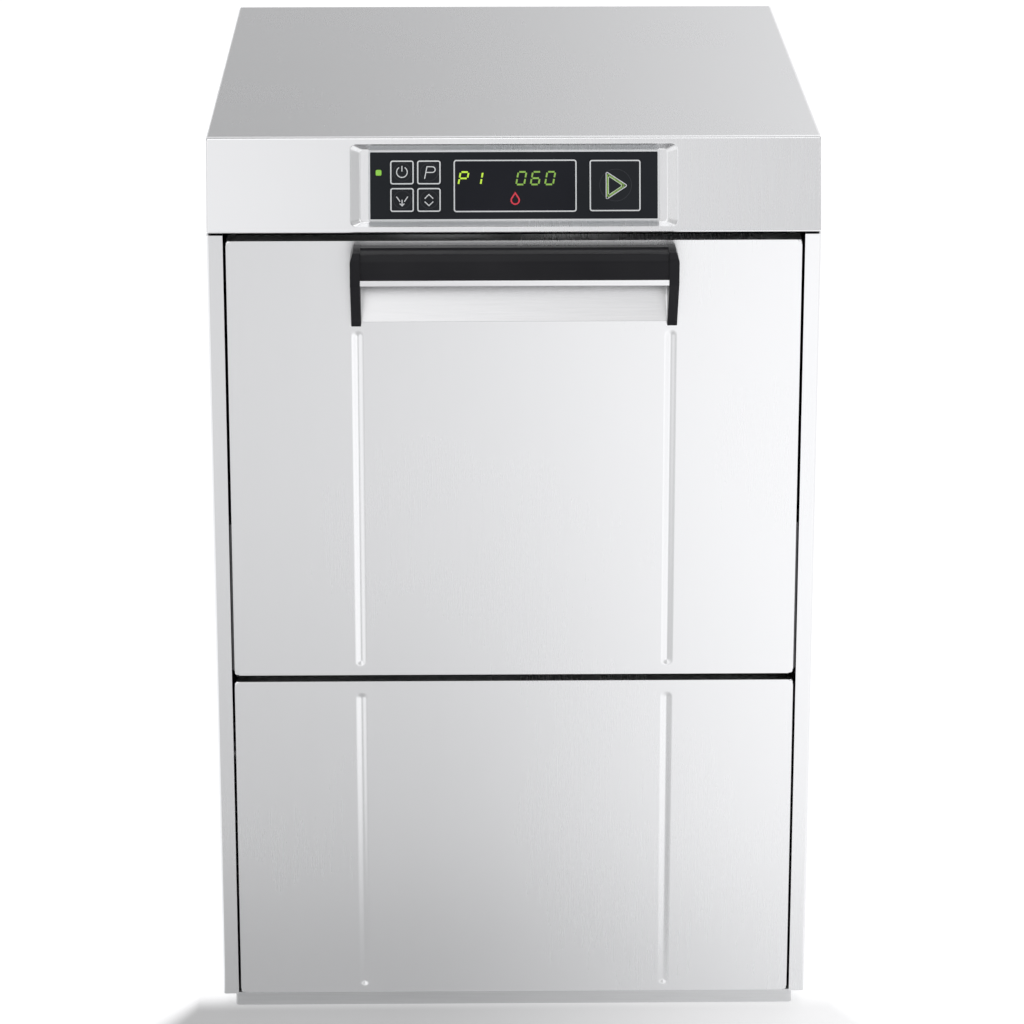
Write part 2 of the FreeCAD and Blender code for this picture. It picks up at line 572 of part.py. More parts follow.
def make_tank():
    wall = TANK_WALL
    top = TUB_FLOOR - SHEET
    shell = block(-TANK_HALF - wall, TANK_HALF + wall, CENTRE_Y - TANK_HALF - wall,
                  CENTRE_Y + TANK_HALF + wall, TANK_FLOOR - wall, top)
    shell = shell.fuse(rod(0, CENTRE_Y, SUMP_FLOOR - wall, SUMP_R + wall, TANK_FLOOR - SUMP_FLOOR))
    room = block(-TANK_HALF, TANK_HALF, CENTRE_Y - TANK_HALF, CENTRE_Y + TANK_HALF, TANK_FLOOR, top + 1)
    shell = shell.fuse(rod(0, CENTRE_Y + 30, SUMP_OUTLET_Z, 16, SUMP_R - 11, Y_AXIS))
    shell = shell.fuse(rod(32, CENTRE_Y, SUMP_FLOOR - 16, 12, 16))
    shell = shell.cut(room)
    shell = shell.cut(rod(0, CENTRE_Y, SUMP_FLOOR, SUMP_R, TANK_FLOOR - SUMP_FLOOR + 5))
    shell = shell.cut(rod(0, CENTRE_Y, SUMP_OUTLET_Z, 14, SUMP_R + 25, Y_AXIS))
    shell = shell.cut(rod(32, CENTRE_Y, SUMP_FLOOR - 20, 10, 30))
    add("tank", shell)

    frame_top = TUB_FLOOR - 2
    screen = block(-TANK_HALF + 3, TANK_HALF - 3, CENTRE_Y - TANK_HALF + 3, CENTRE_Y + TANK_HALF - 3,
                   frame_top - 2, frame_top)
    screen = screen.cut(rod(0, CENTRE_Y, frame_top - 5, 24, 10))
    screen = screen.cut(rod(60, CENTRE_Y + 60, frame_top - 5, 13, 10))
    slots = []
    for row in range(-10, 11):
        slot_x = row * FILTER_PITCH
        for y0, y1 in ((-125, -32), (32, 125)):
            if row == 5 and y0 > 0:
                continue
            slots.append(block(slot_x - FILTER_SLOT_HALF, slot_x + FILTER_SLOT_HALF, CENTRE_Y + y0,
                               CENTRE_Y + y1, frame_top - 5, frame_top + 1))
    for slot in slots:
        screen = screen.cut(slot)
    add("tank_filter", screen)

    basket = tube(0, CENTRE_Y, SUMP_FLOOR + 1, STRAINER_R, STRAINER_R - 1.5, 34)
    basket = basket.fuse(rod(0, CENTRE_Y, SUMP_FLOOR + 33, STRAINER_R, 2))
    basket = basket.cut(rod(0, CENTRE_Y, SUMP_FLOOR, 20, 40))
    for step in range(STRAINER_WINDOWS):
        window = block(40, 50, -4, 4, SUMP_FLOOR + 6, SUMP_FLOOR + 28)
        window.rotate(point(0, 0, 0), Z_AXIS, step * 360 / STRAINER_WINDOWS)
        window.translate(point(0, CENTRE_Y, 0))
        basket = basket.cut(window)
    add("suction_strainer", basket)

    standpipe = tube(60, CENTRE_Y + 60, TANK_FLOOR + 0.2, 11, 9, TUB_FLOOR + 6 - TANK_FLOOR)
    flange = tube(60, CENTRE_Y + 60, TANK_FLOOR + 0.2, 17, 9, 6)
    add("overflow_pipe", standpipe.fuse(flange))


def make_rack():
    y0 = TUB_FRONT + 12
    y1 = TUB_FRONT + TUB_DEPTH - 12
    rail = side_profile([(y0, RAIL_TOP - 10), (y0, RAIL_TOP), (y1, RAIL_TOP), (y1, RAIL_TOP - 10)],
                        TUB_HALF - 18, TUB_HALF)
    rail = rail.cut(block(TUB_HALF - 20, TUB_HALF - 1.5, y0 - 1, y1 + 1, RAIL_TOP - 12, RAIL_TOP - 1.5))
    add("rack_rails", *both_sides(rail))
    # the rack: a slotted base, and a slotted wall frame that stands on it
    half = RACK_SIDE / 2 - 1
    y0 = CENTRE_Y - half
    y1 = CENTRE_Y + half
    floor_top = RACK_BASE + RACK_FLOOR
    base = block(-half, half, y0, y1, RACK_BASE, floor_top)
    base = rounded(base, RACK_CORNER, Z_AXIS, lambda c: True)
    frame = block(-half, half, y0, y1, floor_top, RACK_BASE + RACK_HEIGHT)
    frame = rounded(frame, RACK_CORNER, Z_AXIS, lambda c: True)
    room = block(-half + RACK_WALL, half - RACK_WALL, y0 + RACK_WALL, y1 - RACK_WALL,
                 floor_top - 1, RACK_BASE + RACK_HEIGHT + 1)
    frame = frame.cut(rounded(room, RACK_CORNER - RACK_WALL, Z_AXIS, lambda c: True))
    floor_slots = []
    wall_slots = []
    row_length = 2 * (half - RACK_WALL) / RACK_ROWS
    rib = RACK_PITCH - RACK_SLOT
    for column in range(RACK_SLOTS):
        middle = (column - (RACK_SLOTS - 1) / 2) * RACK_PITCH
        x0 = middle - RACK_SLOT / 2
        x1 = middle + RACK_SLOT / 2
        for row in range(RACK_ROWS):
            start = y0 + RACK_WALL + row * row_length + rib
            floor_slots.append(block(x0, x1, start, start + row_length - 2 * rib,
                                     RACK_BASE - 1, floor_top + 1))
        if abs(middle) > half - RACK_CORNER - 2:
            continue
        for low, high in RACK_WINDOWS:
            z0 = RACK_BASE + low
            z1 = RACK_BASE + high
            wall_slots.append(block(x0, x1, y0 - 1, y1 + 1, z0, z1))
            wall_slots.append(block(-half - 1, half + 1, CENTRE_Y + x0, CENTRE_Y + x1, z0, z1))
    base = base.cut(Part.makeCompound(floor_slots))
    frame = frame.cut(Part.makeCompound(wall_slots))
    add("rack", base, frame)


def spray_arm(hub_r, hub_z0, hub_height, reach, width, thickness, nozzle_up):
    """A hub with two hollow arms and a row of jets on each arm."""
    middle_z = hub_z0 + hub_height / 2
    half = width / 2
    arm = block(-reach, reach, CENTRE_Y - half, CENTRE_Y + half,
                middle_z - thickness / 2, middle_z + thickness / 2)
    arm = rounded(arm, half - 0.5, Z_AXIS, lambda c: True)
    arm = rounded(arm, thickness * 0.35, X_AXIS, lambda c: True)
    arm = arm.fuse(rod(0, CENTRE_Y, hub_z0, hub_r, hub_height))
    arm = arm.cut(rod(0, CENTRE_Y, hub_z0 - 1, SPINDLE_R + RUNNING_GAP, hub_height + 2))
    jet_z = middle_z + thickness / 2 - 2 if nozzle_up else middle_z - thickness / 2 - 1
    for side in (-1, 1):
        for step in range(4):
            jet_x = side * (reach - 14 - step * (reach - 50) / 4)
            arm = arm.cut(rod(jet_x, CENTRE_Y, jet_z, 1.8, 3))
    return arm


def turned(shape, angle):
    copy = shape.copy()
    copy.rotate(point(0, CENTRE_Y, 0), Z_AXIS, angle)
    return copy


def make_arms():
    wash_z = LOWER_FLANGE_TOP + HUB_GAP
    rinse_z = wash_z + WASH_HUB_HEIGHT + HUB_GAP
    tip = rinse_z + RINSE_HUB_HEIGHT + HUB_GAP
    add("lower_wash_arm", turned(spray_arm(17, wash_z, WASH_HUB_HEIGHT, WASH_ARM_REACH, 26, 12, True), 12))
    add("lower_rinse_arm", turned(spray_arm(14, rinse_z, RINSE_HUB_HEIGHT, RINSE_ARM_REACH, 9, 7, True), 52))
    spindle = rod(0, CENTRE_Y, TUB_FLOOR - 2, 23, LOWER_FLANGE_TOP - TUB_FLOOR + 2)
    spindle = spindle.fuse(rod(0, CENTRE_Y, LOWER_FLANGE_TOP, SPINDLE_R, tip - LOWER_FLANGE_TOP))
    spindle = spindle.fuse(rod(0, CENTRE_Y, TANK_FLOOR + 30, 14, TUB_FLOOR - TANK_FLOOR - 31))
    spindle = spindle.fuse(rod(0, CENTRE_Y, MANIFOLD_Z, 12, TANK_HALF, Y_AXIS))
    spindle = spindle.cut(rod(0, CENTRE_Y, TANK_FLOOR + 33, 6, tip - TANK_FLOOR - 36))
    spindle = spindle.cut(rod(0, CENTRE_Y, MANIFOLD_Z, 9, TANK_HALF + 1, Y_AXIS))
    lower_spindle = spindle
    knob_top = RACK_BASE - 1.0
    cap_low = rod(0, CENTRE_Y, tip, 13, knob_top - tip)

    high_wash_z = UPPER_FLANGE_BOTTOM - HUB_GAP - WASH_HUB_HEIGHT
    high_rinse_z = high_wash_z - HUB_GAP - RINSE_HUB_HEIGHT
    high_tip = high_rinse_z - HUB_GAP
    add("upper_wash_arm",
        turned(spray_arm(17, high_wash_z, WASH_HUB_HEIGHT, WASH_ARM_REACH, 26, 12, False), -35))
    add("upper_rinse_arm",
        turned(spray_arm(14, high_rinse_z, RINSE_HUB_HEIGHT, RINSE_ARM_REACH, 9, 7, False), 8))
    spindle = rod(0, CENTRE_Y, UPPER_FLANGE_BOTTOM, 23, TUB_ROOF - UPPER_FLANGE_BOTTOM)
    spindle = spindle.fuse(rod(0, CENTRE_Y, high_tip, SPINDLE_R, UPPER_FLANGE_BOTTOM - high_tip))
    spindle = spindle.fuse(rod(0, CENTRE_Y, TUB_ROOF, 9.8, 14))
    spindle = spindle.cut(rod(0, CENTRE_Y, high_tip + 4, 6, 60))
    cap_high = rod(0, CENTRE_Y, high_tip - 8, 13, 8)
    add("spindles", lower_spindle, spindle, cap_low, cap_high)


# ---- pumps, boiler, water and drain -------------------------------------------------
PUMP_Y = 150.0
PUMP_Z = 80.0
PUMP_R = 52.0
MOTOR_R = 42.0
SHAFT_R = 6.0
MOTOR_FINS = 24
PUMP_VANES = 6
DRAIN_VANES = 4
DOSER_ROLLERS = 3
OUTLET_Y = PUMP_Y + 38.0
RISER_Y = 222.0
RISER_TOP = 655.0
MANIFOLD_Z = 215.0
SUMP_OUTLET_Z = SUMP_FLOOR + 16.0
DRAIN_PUMP_Y = 55.0
DRAIN_PUMP_Z = 60.0
BOILER_X = -150.0
BOILER_Z = 85.0
BOILER_R = 52.0
BOILER_Y0 = -170.0
BOILER_Y1 = 60.0
DOSER_X = 150.0
DOSER_Z = 90.0
DOSER_FACE = -205.0
POCKET_FLOOR = REAR - SERVICE_DEPTH


def make_wash_pump():
    motor = rod(-135, PUMP_Y, PUMP_Z, MOTOR_R, 115, X_AXIS)
    motor = motor.fuse(rod(-147, PUMP_Y, PUMP_Z, MOTOR_R - 5, 12, X_AXIS))
    for step in range(MOTOR_FINS):
        fin = block(-118, -38, PUMP_Y - 1.2, PUMP_Y + 1.2, PUMP_Z + MOTOR_R - 2, PUMP_Z + MOTOR_R + 3)
        fin.rotate(point(0, PUMP_Y, PUMP_Z), X_AXIS, step * 360 / MOTOR_FINS)
        motor = motor.fuse(fin)
    motor = motor.fuse(block(-120, -40, PUMP_Y - 30, PUMP_Y + 30, PLINTH_TOP, PUMP_Z - 25))
    motor = motor.cut(rod(-96, PUMP_Y, PUMP_Z, SHAFT_R + RUNNING_GAP, 80, X_AXIS))
    add("wash_pump_motor", motor)

    volute = rod(-20, PUMP_Y, PUMP_Z, PUMP_R, 40, X_AXIS)
    volute = volute.fuse(rod(0, OUTLET_Y, PUMP_Z, 14, 62))
    volute = volute.fuse(rod(20, PUMP_Y, PUMP_Z, 15.9, 25, X_AXIS))
    volute = volute.cut(rod(-16, PUMP_Y, PUMP_Z, 46, 32, X_AXIS))
    volute = volute.cut(rod(0, OUTLET_Y, PUMP_Z, 10.5, 63))
    volute = volute.cut(rod(10, PUMP_Y, PUMP_Z, 12.5, 40, X_AXIS))
    volute = volute.cut(rod(-21, PUMP_Y, PUMP_Z, SHAFT_R + RUNNING_GAP, 10, X_AXIS))
    add("pump_volute", volute)

    impeller = rod(-95, PUMP_Y, PUMP_Z, SHAFT_R, 103, X_AXIS)
    impeller = impeller.fuse(rod(-13, PUMP_Y, PUMP_Z, 40, 4, X_AXIS))
    impeller = impeller.fuse(rod(-10, PUMP_Y, PUMP_Z, 10, 16, X_AXIS))
    for step in range(PUMP_VANES):
        vane = block(-10, 6, PUMP_Y - 1.5, PUMP_Y + 1.5, PUMP_Z + 8, PUMP_Z + 39)
        vane.rotate(point(0, PUMP_Y, PUMP_Z + 8), X_AXIS, 22)
        vane.rotate(point(0, PUMP_Y, PUMP_Z), X_AXIS, step * 360 / PUMP_VANES)
        impeller = impeller.fuse(vane.common(rod(-20, PUMP_Y, PUMP_Z, 40, 40, X_AXIS)))
    add("pump_impeller", impeller)


def make_pipes():
    suction = hose([(0, CENTRE_Y + SUMP_R + 4, SUMP_OUTLET_Z), (0, 96, SUMP_OUTLET_Z), (85, 138, 116),
                    (85, PUMP_Y, PUMP_Z), (25, PUMP_Y, PUMP_Z)], 18, 16, 20)
    drain_in = hose([(32, CENTRE_Y, SUMP_FLOOR - 8), (32, CENTRE_Y, DRAIN_PUMP_Z),
                     (DRAIN_X, CENTRE_Y, DRAIN_PUMP_Z), (DRAIN_X, DRAIN_PUMP_Y - 10, DRAIN_PUMP_Z)],
                    14, 12, 18)
    drain_out = hose([(DRAIN_X, DRAIN_PUMP_Y + 58, DRAIN_Z + 12), (DRAIN_X, 150, DRAIN_Z + 12),
                      (DRAIN_X, 190, DRAIN_Z), (DRAIN_X, POCKET_FLOOR - 6, DRAIN_Z)], 11.5, 10, 18)
    feed = hose([(INLET_X, 196, INLET_Z - 20), (INLET_X, 196, 26), (100, 207, 26), (-150, 207, 26),
                 (-172, 110, 30), (BOILER_X, 92, 70), (BOILER_X, BOILER_Y1, 70)], 5, 3.5, 12)
    add("hoses", suction, drain_in, drain_out, feed)

    riser = hose([(0, OUTLET_Y, PUMP_Z + 52), (0, OUTLET_Y, 180), (0, RISER_Y, 236),
                  (0, RISER_Y, RISER_TOP), (0, CENTRE_Y, RISER_TOP), (0, CENTRE_Y, TUB_ROOF + SHEET)],
                 15.5, 14, 20)
    rinse = hose([(-170, 20, BOILER_Z + 52), (-170, 20, 215), (-170, 216, 215), (-170, 216, 640),
                  (-120, CENTRE_Y, 640), (-16, CENTRE_Y, 640)], 6, 4.5, 15)
    add("supply_pipes", riser, rinse)


def make_drain():
    start = DRAIN_PUMP_Y
    body = rod(DRAIN_X, start, DRAIN_PUMP_Z, 27, 24, Y_AXIS)
    body = body.fuse(rod(DRAIN_X, start + 24, DRAIN_PUMP_Z, 20, 30, Y_AXIS))
    body = body.fuse(rod(DRAIN_X, start - 14, DRAIN_PUMP_Z, 12, 14, Y_AXIS))
    body = body.fuse(rod(DRAIN_X, start + 4, DRAIN_Z + 12, 10, 70, Y_AXIS))
    body = body.fuse(block(DRAIN_X - 24, DRAIN_X + 24, start, start + 40, PLINTH_TOP, DRAIN_PUMP_Z - 15))
    body = body.cut(rod(DRAIN_X, start + 3, DRAIN_PUMP_Z, 23, 16, Y_AXIS))
    body = body.cut(rod(DRAIN_X, start - 15, DRAIN_PUMP_Z, 9, 20, Y_AXIS))
    body = body.cut(rod(DRAIN_X, start + 6, DRAIN_Z + 12, 7.5, 70, Y_AXIS))
    body = body.cut(rod(DRAIN_X, start + 18, DRAIN_PUMP_Z, 3 + RUNNING_GAP, 30, Y_AXIS))
    add("drain_pump", body)
    rotor = rod(DRAIN_X, start + 6, DRAIN_PUMP_Z, 3, 40, Y_AXIS)
    rotor = rotor.fuse(rod(DRAIN_X, start + 15, DRAIN_PUMP_Z, 19, 2.5, Y_AXIS))
    for step in range(DRAIN_VANES):
        vane = block(DRAIN_X - 1, DRAIN_X + 1, start + 6, start + 15.5, DRAIN_PUMP_Z + 2, DRAIN_PUMP_Z + 18)
        vane.rotate(point(DRAIN_X, 0, DRAIN_PUMP_Z), Y_AXIS, step * 360 / DRAIN_VANES)
        rotor = rotor.fuse(vane)
    add("drain_impeller", rotor)
    spout = tube(DRAIN_X, POCKET_FLOOR - 22, DRAIN_Z, 10, 8, SERVICE_DEPTH + 18, Y_AXIS)
    collar = tube(DRAIN_X, POCKET_FLOOR, DRAIN_Z, 15, 9, 3, Y_AXIS)
    add("drain_spout", spout.fuse(collar))


def make_boiler():
    length = BOILER_Y1 - BOILER_Y0
    shell = rod(BOILER_X, BOILER_Y0, BOILER_Z, BOILER_R, length, Y_AXIS)
    shell = shell.makeFillet(8, [e for e in shell.Edges if e.Curve.TypeId == "Part::GeomCircle"])
    for y in (-130.0, 10.0):
        shell = shell.fuse(block(BOILER_X - 20, BOILER_X + 20, y, y + 14, PLINTH_TOP, BOILER_Z - 30))
    shell = shell.fuse(rod(-170, 20, BOILER_Z + 40, 6, 12))
    room = rod(BOILER_X, BOILER_Y0 + 2, BOILER_Z, BOILER_R - 2, length - 4, Y_AXIS)
    room = room.makeFillet(6, [e for e in room.Edges if e.Curve.TypeId == "Part::GeomCircle"])
    shell = shell.cut(room)
    shell = shell.cut(rod(BOILER_X, BOILER_Y0 - 1, BOILER_Z, 22, 5, Y_AXIS))
    add("boiler", shell)
    loop = hose([(BOILER_X - 12, BOILER_Y0, BOILER_Z), (BOILER_X - 12, 20, BOILER_Z),
                 (BOILER_X + 12, 20, BOILER_Z), (BOILER_X + 12, BOILER_Y0, BOILER_Z)], 4, 1.5, 11)
    flange = rod(BOILER_X, BOILER_Y0 - 6, BOILER_Z, 22, 8, Y_AXIS)
    boiler_element = loop.fuse(flange)
    tank_loop = hose([(-TANK_HALF + 2, CENTRE_Y - 110, 185), (110, CENTRE_Y - 110, 185),
                      (110, CENTRE_Y - 80, 185), (-TANK_HALF + 2, CENTRE_Y - 80, 185)], 4, 1.5, 13)
    tank_head = block(-TANK_HALF, -TANK_HALF + 4, CENTRE_Y - 122, CENTRE_Y - 68, 172, 198)
    add("heating_elements", boiler_element, tank_loop.fuse(tank_head))

    valve = block(INLET_X - 16, INLET_X + 16, 186, POCKET_FLOOR - SHEET, INLET_Z - 14, INLET_Z + 14)
    valve = valve.fuse(rod(INLET_X, 205, INLET_Z + 10, 13, 34))
    valve = valve.fuse(rod(INLET_X, 196, INLET_Z - 22, 3.5, 12))
    valve = valve.fuse(rod(INLET_X, POCKET_FLOOR - 6, INLET_Z, 13.2, 30, Y_AXIS))
    valve = valve.fuse(rod(INLET_X, POCKET_FLOOR, INLET_Z, 17, 3, Y_AXIS))
    valve = valve.cut(rod(INLET_X, 200, INLET_Z, 8, 70, Y_AXIS))
    add("inlet_valve", valve)

    gland = rod(CABLE_X, POCKET_FLOOR - 10, CABLE_Z, 8, 14, Y_AXIS)
    for start_y, length in ((POCKET_FLOOR, 8), (POCKET_FLOOR - SHEET - 6, 6)):
        hexagon = Part.Face(Part.makePolygon(
            [point(CABLE_X + 12 * math.cos(math.radians(60 * i)), start_y,
                   CABLE_Z + 12 * math.sin(math.radians(60 * i))) for i in range(7)]))
        gland = gland.fuse(hexagon.extrude(point(0, length, 0)))
    gland = gland.fuse(rod(CABLE_X, POCKET_FLOOR + 8, CABLE_Z, 9, 10, Y_AXIS))
    gland = gland.cut(rod(CABLE_X, POCKET_FLOOR - 20, CABLE_Z, 4.5, 60, Y_AXIS))
    add("cable_gland", gland)


def make_doser():
    body = block(DOSER_X - 22, DOSER_X + 22, DOSER_FACE + 14, DOSER_FACE + 60, DOSER_Z - 26, DOSER_Z + 26)
    body = rounded(body, 4, Y_AXIS, lambda c: True)
    body = body.fuse(block(DOSER_X - 12, DOSER_X + 12, DOSER_FACE + 30, DOSER_FACE + 44,
                           PLINTH_TOP, DOSER_Z - 20))
    body = body.fuse(tube(DOSER_X, DOSER_FACE, DOSER_Z, 21, 16, 14, Y_AXIS))
    body = body.cut(rod(DOSER_X, DOSER_FACE + 13, DOSER_Z, 3 + RUNNING_GAP, 22, Y_AXIS))
    add("rinse_aid_doser", body)
    rotor = rod(DOSER_X, DOSER_FACE + 1, DOSER_Z, 3, 32, Y_AXIS)
    rotor = rotor.fuse(rod(DOSER_X, DOSER_FACE + 1, DOSER_Z, 9, 2, Y_AXIS))
    rotor = rotor.fuse(rod(DOSER_X, DOSER_FACE + 11, DOSER_Z, 9, 2, Y_AXIS))
    for step in range(DOSER_ROLLERS):
        roller = rod(DOSER_X, DOSER_FACE + 1, DOSER_Z + 9.5, 4, 12, Y_AXIS)
        roller.rotate(point(DOSER_X, 0, DOSER_Z), Y_AXIS, step * 360 / DOSER_ROLLERS)
        rotor = rotor.fuse(roller)
    add("doser_rotor", rotor)


def main():
    make_base()
    make_side_panels()
    make_top_panel()
    make_rear_panel()
    make_lower_panel()
    make_fascia()
    make_controls()
    make_door()
    make_handle()
    make_tub()
    make_tank()
    make_rack()
    make_arms()
    make_wash_pump()
    make_pipes()
    make_drain()
    make_boiler()
    make_doser()
    os.makedirs("parts", exist_ok=True)
    for name, shape in parts.items():
        if not shape.isValid():
            print("not valid:", name)
        shape.exportStep(os.path.join("parts", name + ".step"))
    print(len(parts), "nodes")


main()
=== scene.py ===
import json
import math
import bmesh
import bpy
from mathutils import Matrix, Vector


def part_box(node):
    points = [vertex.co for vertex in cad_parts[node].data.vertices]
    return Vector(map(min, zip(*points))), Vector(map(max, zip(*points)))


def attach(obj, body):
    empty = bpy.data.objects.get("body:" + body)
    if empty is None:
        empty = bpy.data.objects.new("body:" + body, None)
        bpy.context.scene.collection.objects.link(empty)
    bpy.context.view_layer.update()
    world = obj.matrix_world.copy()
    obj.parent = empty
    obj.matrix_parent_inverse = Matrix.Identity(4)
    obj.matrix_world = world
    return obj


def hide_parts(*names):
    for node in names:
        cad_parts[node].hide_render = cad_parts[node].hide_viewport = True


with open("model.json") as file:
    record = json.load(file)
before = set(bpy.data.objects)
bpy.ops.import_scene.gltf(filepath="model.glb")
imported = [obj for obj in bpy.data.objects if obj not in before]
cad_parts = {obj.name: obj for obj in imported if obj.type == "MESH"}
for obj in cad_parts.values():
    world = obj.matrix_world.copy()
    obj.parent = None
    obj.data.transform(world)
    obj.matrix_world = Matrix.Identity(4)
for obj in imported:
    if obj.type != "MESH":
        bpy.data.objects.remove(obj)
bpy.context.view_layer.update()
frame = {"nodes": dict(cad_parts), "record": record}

MM = 0.001
SHEET = 1.2 * MM             # steel sheet thickness


# ---- places read from the frame -----------------------------------------------------
DOOR_LOW, DOOR_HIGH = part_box("door_outer_skin")
LOWER_LOW, LOWER_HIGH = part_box("lower_front_panel")
FASCIA_LOW, FASCIA_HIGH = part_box("fascia")
FRONT = DOOR_LOW.y           # the plane of the door face


# ---- camera, light and floor --------------------------------------------------------
CAMERA_PLACE = Vector((-0.043, FRONT - 3.0, 1.369))
CAMERA_PITCH = math.radians(17.70)
CAMERA_YAW = math.radians(-0.79)
CAMERA_LENS = 145.0
SENSOR = 36.0
FLOOR_HALF = 14.0            # half the side of the floor, metres


def make_camera():
    data = bpy.data.cameras.new("camera")
    data.lens = CAMERA_LENS
    data.sensor_width = SENSOR
    camera = bpy.data.objects.new("camera", data)
    camera.location = CAMERA_PLACE
    camera.rotation_euler = (math.pi / 2 - CAMERA_PITCH, 0, CAMERA_YAW)
    bpy.context.scene.collection.objects.link(camera)
    bpy.context.scene.camera = camera


def make_light(name, place, aim, size, power):
    """A white rectangular light that points at a place, unseen by the camera."""
    data = bpy.data.lights.new(name, "AREA")
    data.shape = "RECTANGLE"
    data.size, data.size_y = size
    data.energy = power
    light = bpy.data.objects.new(name, data)
    light.location = place
    direction = Vector(aim) - Vector(place)
    light.rotation_euler = direction.to_track_quat("-Z", "Y").to_euler()
    light.visible_camera = False
    bpy.context.scene.collection.objects.link(light)


def graded(tree, value, stops):
    """A grey ramp through (position, brightness) stops."""
    node = tree.nodes.new("ShaderNodeValToRGB")
    node.color_ramp.interpolation = "EASE"
    elements = node.color_ramp.elements
    while len(elements) < len(stops):
        elements.new(0.5)
    for element, (position, level) in zip(elements, stops):
        element.position = position
        element.color = (level, level, level * 1.01, 1)
    tree.links.new(value, node.inputs["Fac"])
    return node.outputs["Color"]


def spread(tree, value, from_low, from_high):
    """Maps a range of a value onto 0 to 1."""
    node = tree.nodes.new("ShaderNodeMapRange")
    node.interpolation_type = "SMOOTHSTEP"
    node.inputs["From Min"].default_value = from_low
    node.inputs["From Max"].default_value = from_high
    tree.links.new(value, node.inputs["Value"])
    return node.outputs["Result"]


def blended(tree, share, first, second):
    node = tree.nodes.new("ShaderNodeMix")
    node.data_type = "RGBA"
    tree.links.new(share, node.inputs["Factor"])
    tree.links.new(first, node.inputs["A"])
    tree.links.new(second, node.inputs["B"])
    return node.outputs["Result"]


def make_world():
    """A soft studio: bright in front, and behind it darker to the left than to the right.

    Low down it is plain and pale all round, so that no horizon shows behind the floor.
    """
    world = bpy.data.worlds.new("studio")
    world.use_nodes = True
    tree = world.node_tree
    tree.nodes.clear()
    place = tree.nodes.new("ShaderNodeTexCoord")
    split = tree.nodes.new("ShaderNodeSeparateXYZ")
    tree.links.new(place.outputs["Generated"], split.inputs[0])
    x = split.outputs["X"]
    behind = graded(tree, spread(tree, x, -0.10, 0.22), [(0.0, 0.37), (1.0, 1.0)])
    front = graded(tree, spread(tree, x, -0.16, 0.16), [(0.0, 1.18), (1.0, 0.60)])
    colour = blended(tree, spread(tree, split.outputs["Y"], 0.3, -0.3), behind, front)
    # grey flags stand at the far left and the far right
    flags = graded(tree, x, [(0.0, 0.20), (1.0, 0.20)])
    aside = maths(tree, "ABSOLUTE", x, 0.0)
    colour = blended(tree, spread(tree, aside, 0.40, 0.80), colour, flags)
    pale = graded(tree, x, [(0.0, 1.0), (1.0, 1.0)])
    colour = blended(tree, spread(tree, split.outputs["Z"], 0.09, 0.20), pale, colour)
    back = tree.nodes.new("ShaderNodeBackground")
    out = tree.nodes.new("ShaderNodeOutputWorld")
    tree.links.new(colour, back.inputs["Color"])
    tree.links.new(back.outputs[0], out.inputs[0])
    bpy.context.scene.world = world


def make_studio():
    scene = bpy.context.scene
    scene.view_settings.view_transform = "Standard"
    scene.view_settings.look = "None"
    make_light("key_right", (1.9, -1.9, 2.2), (0, 0, 0.3), (1.8, 1.8), 10)
    make_light("fill_left", (-2.2, -1.6, 1.8), (0, 0, 0.3), (1.6, 2.0), 5)
    make_light("overhead", (0.2, 0.2, 2.9), (0, 0, 0), (2.6, 2.6), 14)
    make_world()
    mesh = bpy.data.meshes.new("floor")
    plan = bmesh.new()
    bmesh.ops.create_grid(plan, x_segments=1, y_segments=1, size=FLOOR_HALF)
    plan.to_mesh(mesh)
    plan.free()
    floor = bpy.data.objects.new("floor", mesh)
    bpy.context.scene.collection.objects.link(floor)
    floor.data.materials.append(floor_material())


# ---- materials ----------------------------------------------------------------------
def new_material(name):
    material = bpy.data.materials.new(name)
    material.use_nodes = True
    tree = material.node_tree
    shader = tree.nodes["Principled BSDF"]
    return material, tree, shader


def object_place(tree, scale):
    """Object coordinates in metres, stretched by a scale per axis."""
    place = tree.nodes.new("ShaderNodeTexCoord")
    mapping = tree.nodes.new("ShaderNodeMapping")
    mapping.inputs["Scale"].default_value = scale
    tree.links.new(place.outputs["Object"], mapping.inputs["Vector"])
    return mapping.outputs["Vector"]


def noise(tree, place, scale, detail=3.0, roughness=0.5):
    node = tree.nodes.new("ShaderNodeTexNoise")
    node.inputs["Scale"].default_value = scale
    node.inputs["Detail"].default_value = detail
    node.inputs["Roughness"].default_value = roughness
    tree.links.new(place, node.inputs["Vector"])
    return node.outputs["Fac"]


def remap(tree, value, low, high, from_low=0.3, from_high=0.7):
    node = tree.nodes.new("ShaderNodeMapRange")
    node.inputs["From Min"].default_value = from_low
    node.inputs["From Max"].default_value = from_high
    node.inputs["To Min"].default_value = low
    node.inputs["To Max"].default_value = high
    tree.links.new(value, node.inputs["Value"])
    return node.outputs["Result"]


def tint(tree, value, dark, light, from_low=0.3, from_high=0.7):
    node = tree.nodes.new("ShaderNodeValToRGB")
    node.color_ramp.elements[0].position = from_low
    node.color_ramp.elements[0].color = (*dark, 1)
    node.color_ramp.elements[1].position = from_high
    node.color_ramp.elements[1].color = (*light, 1)
    tree.links.new(value, node.inputs["Fac"])
    return node.outputs["Color"]


def bump(tree, height, shader, strength, distance):
    node = tree.nodes.new("ShaderNodeBump")
    node.inputs["Strength"].default_value = strength
    node.inputs["Distance"].default_value = distance
    tree.links.new(height, node.inputs["Height"])
    tree.links.new(node.outputs["Normal"], shader.inputs["Normal"])


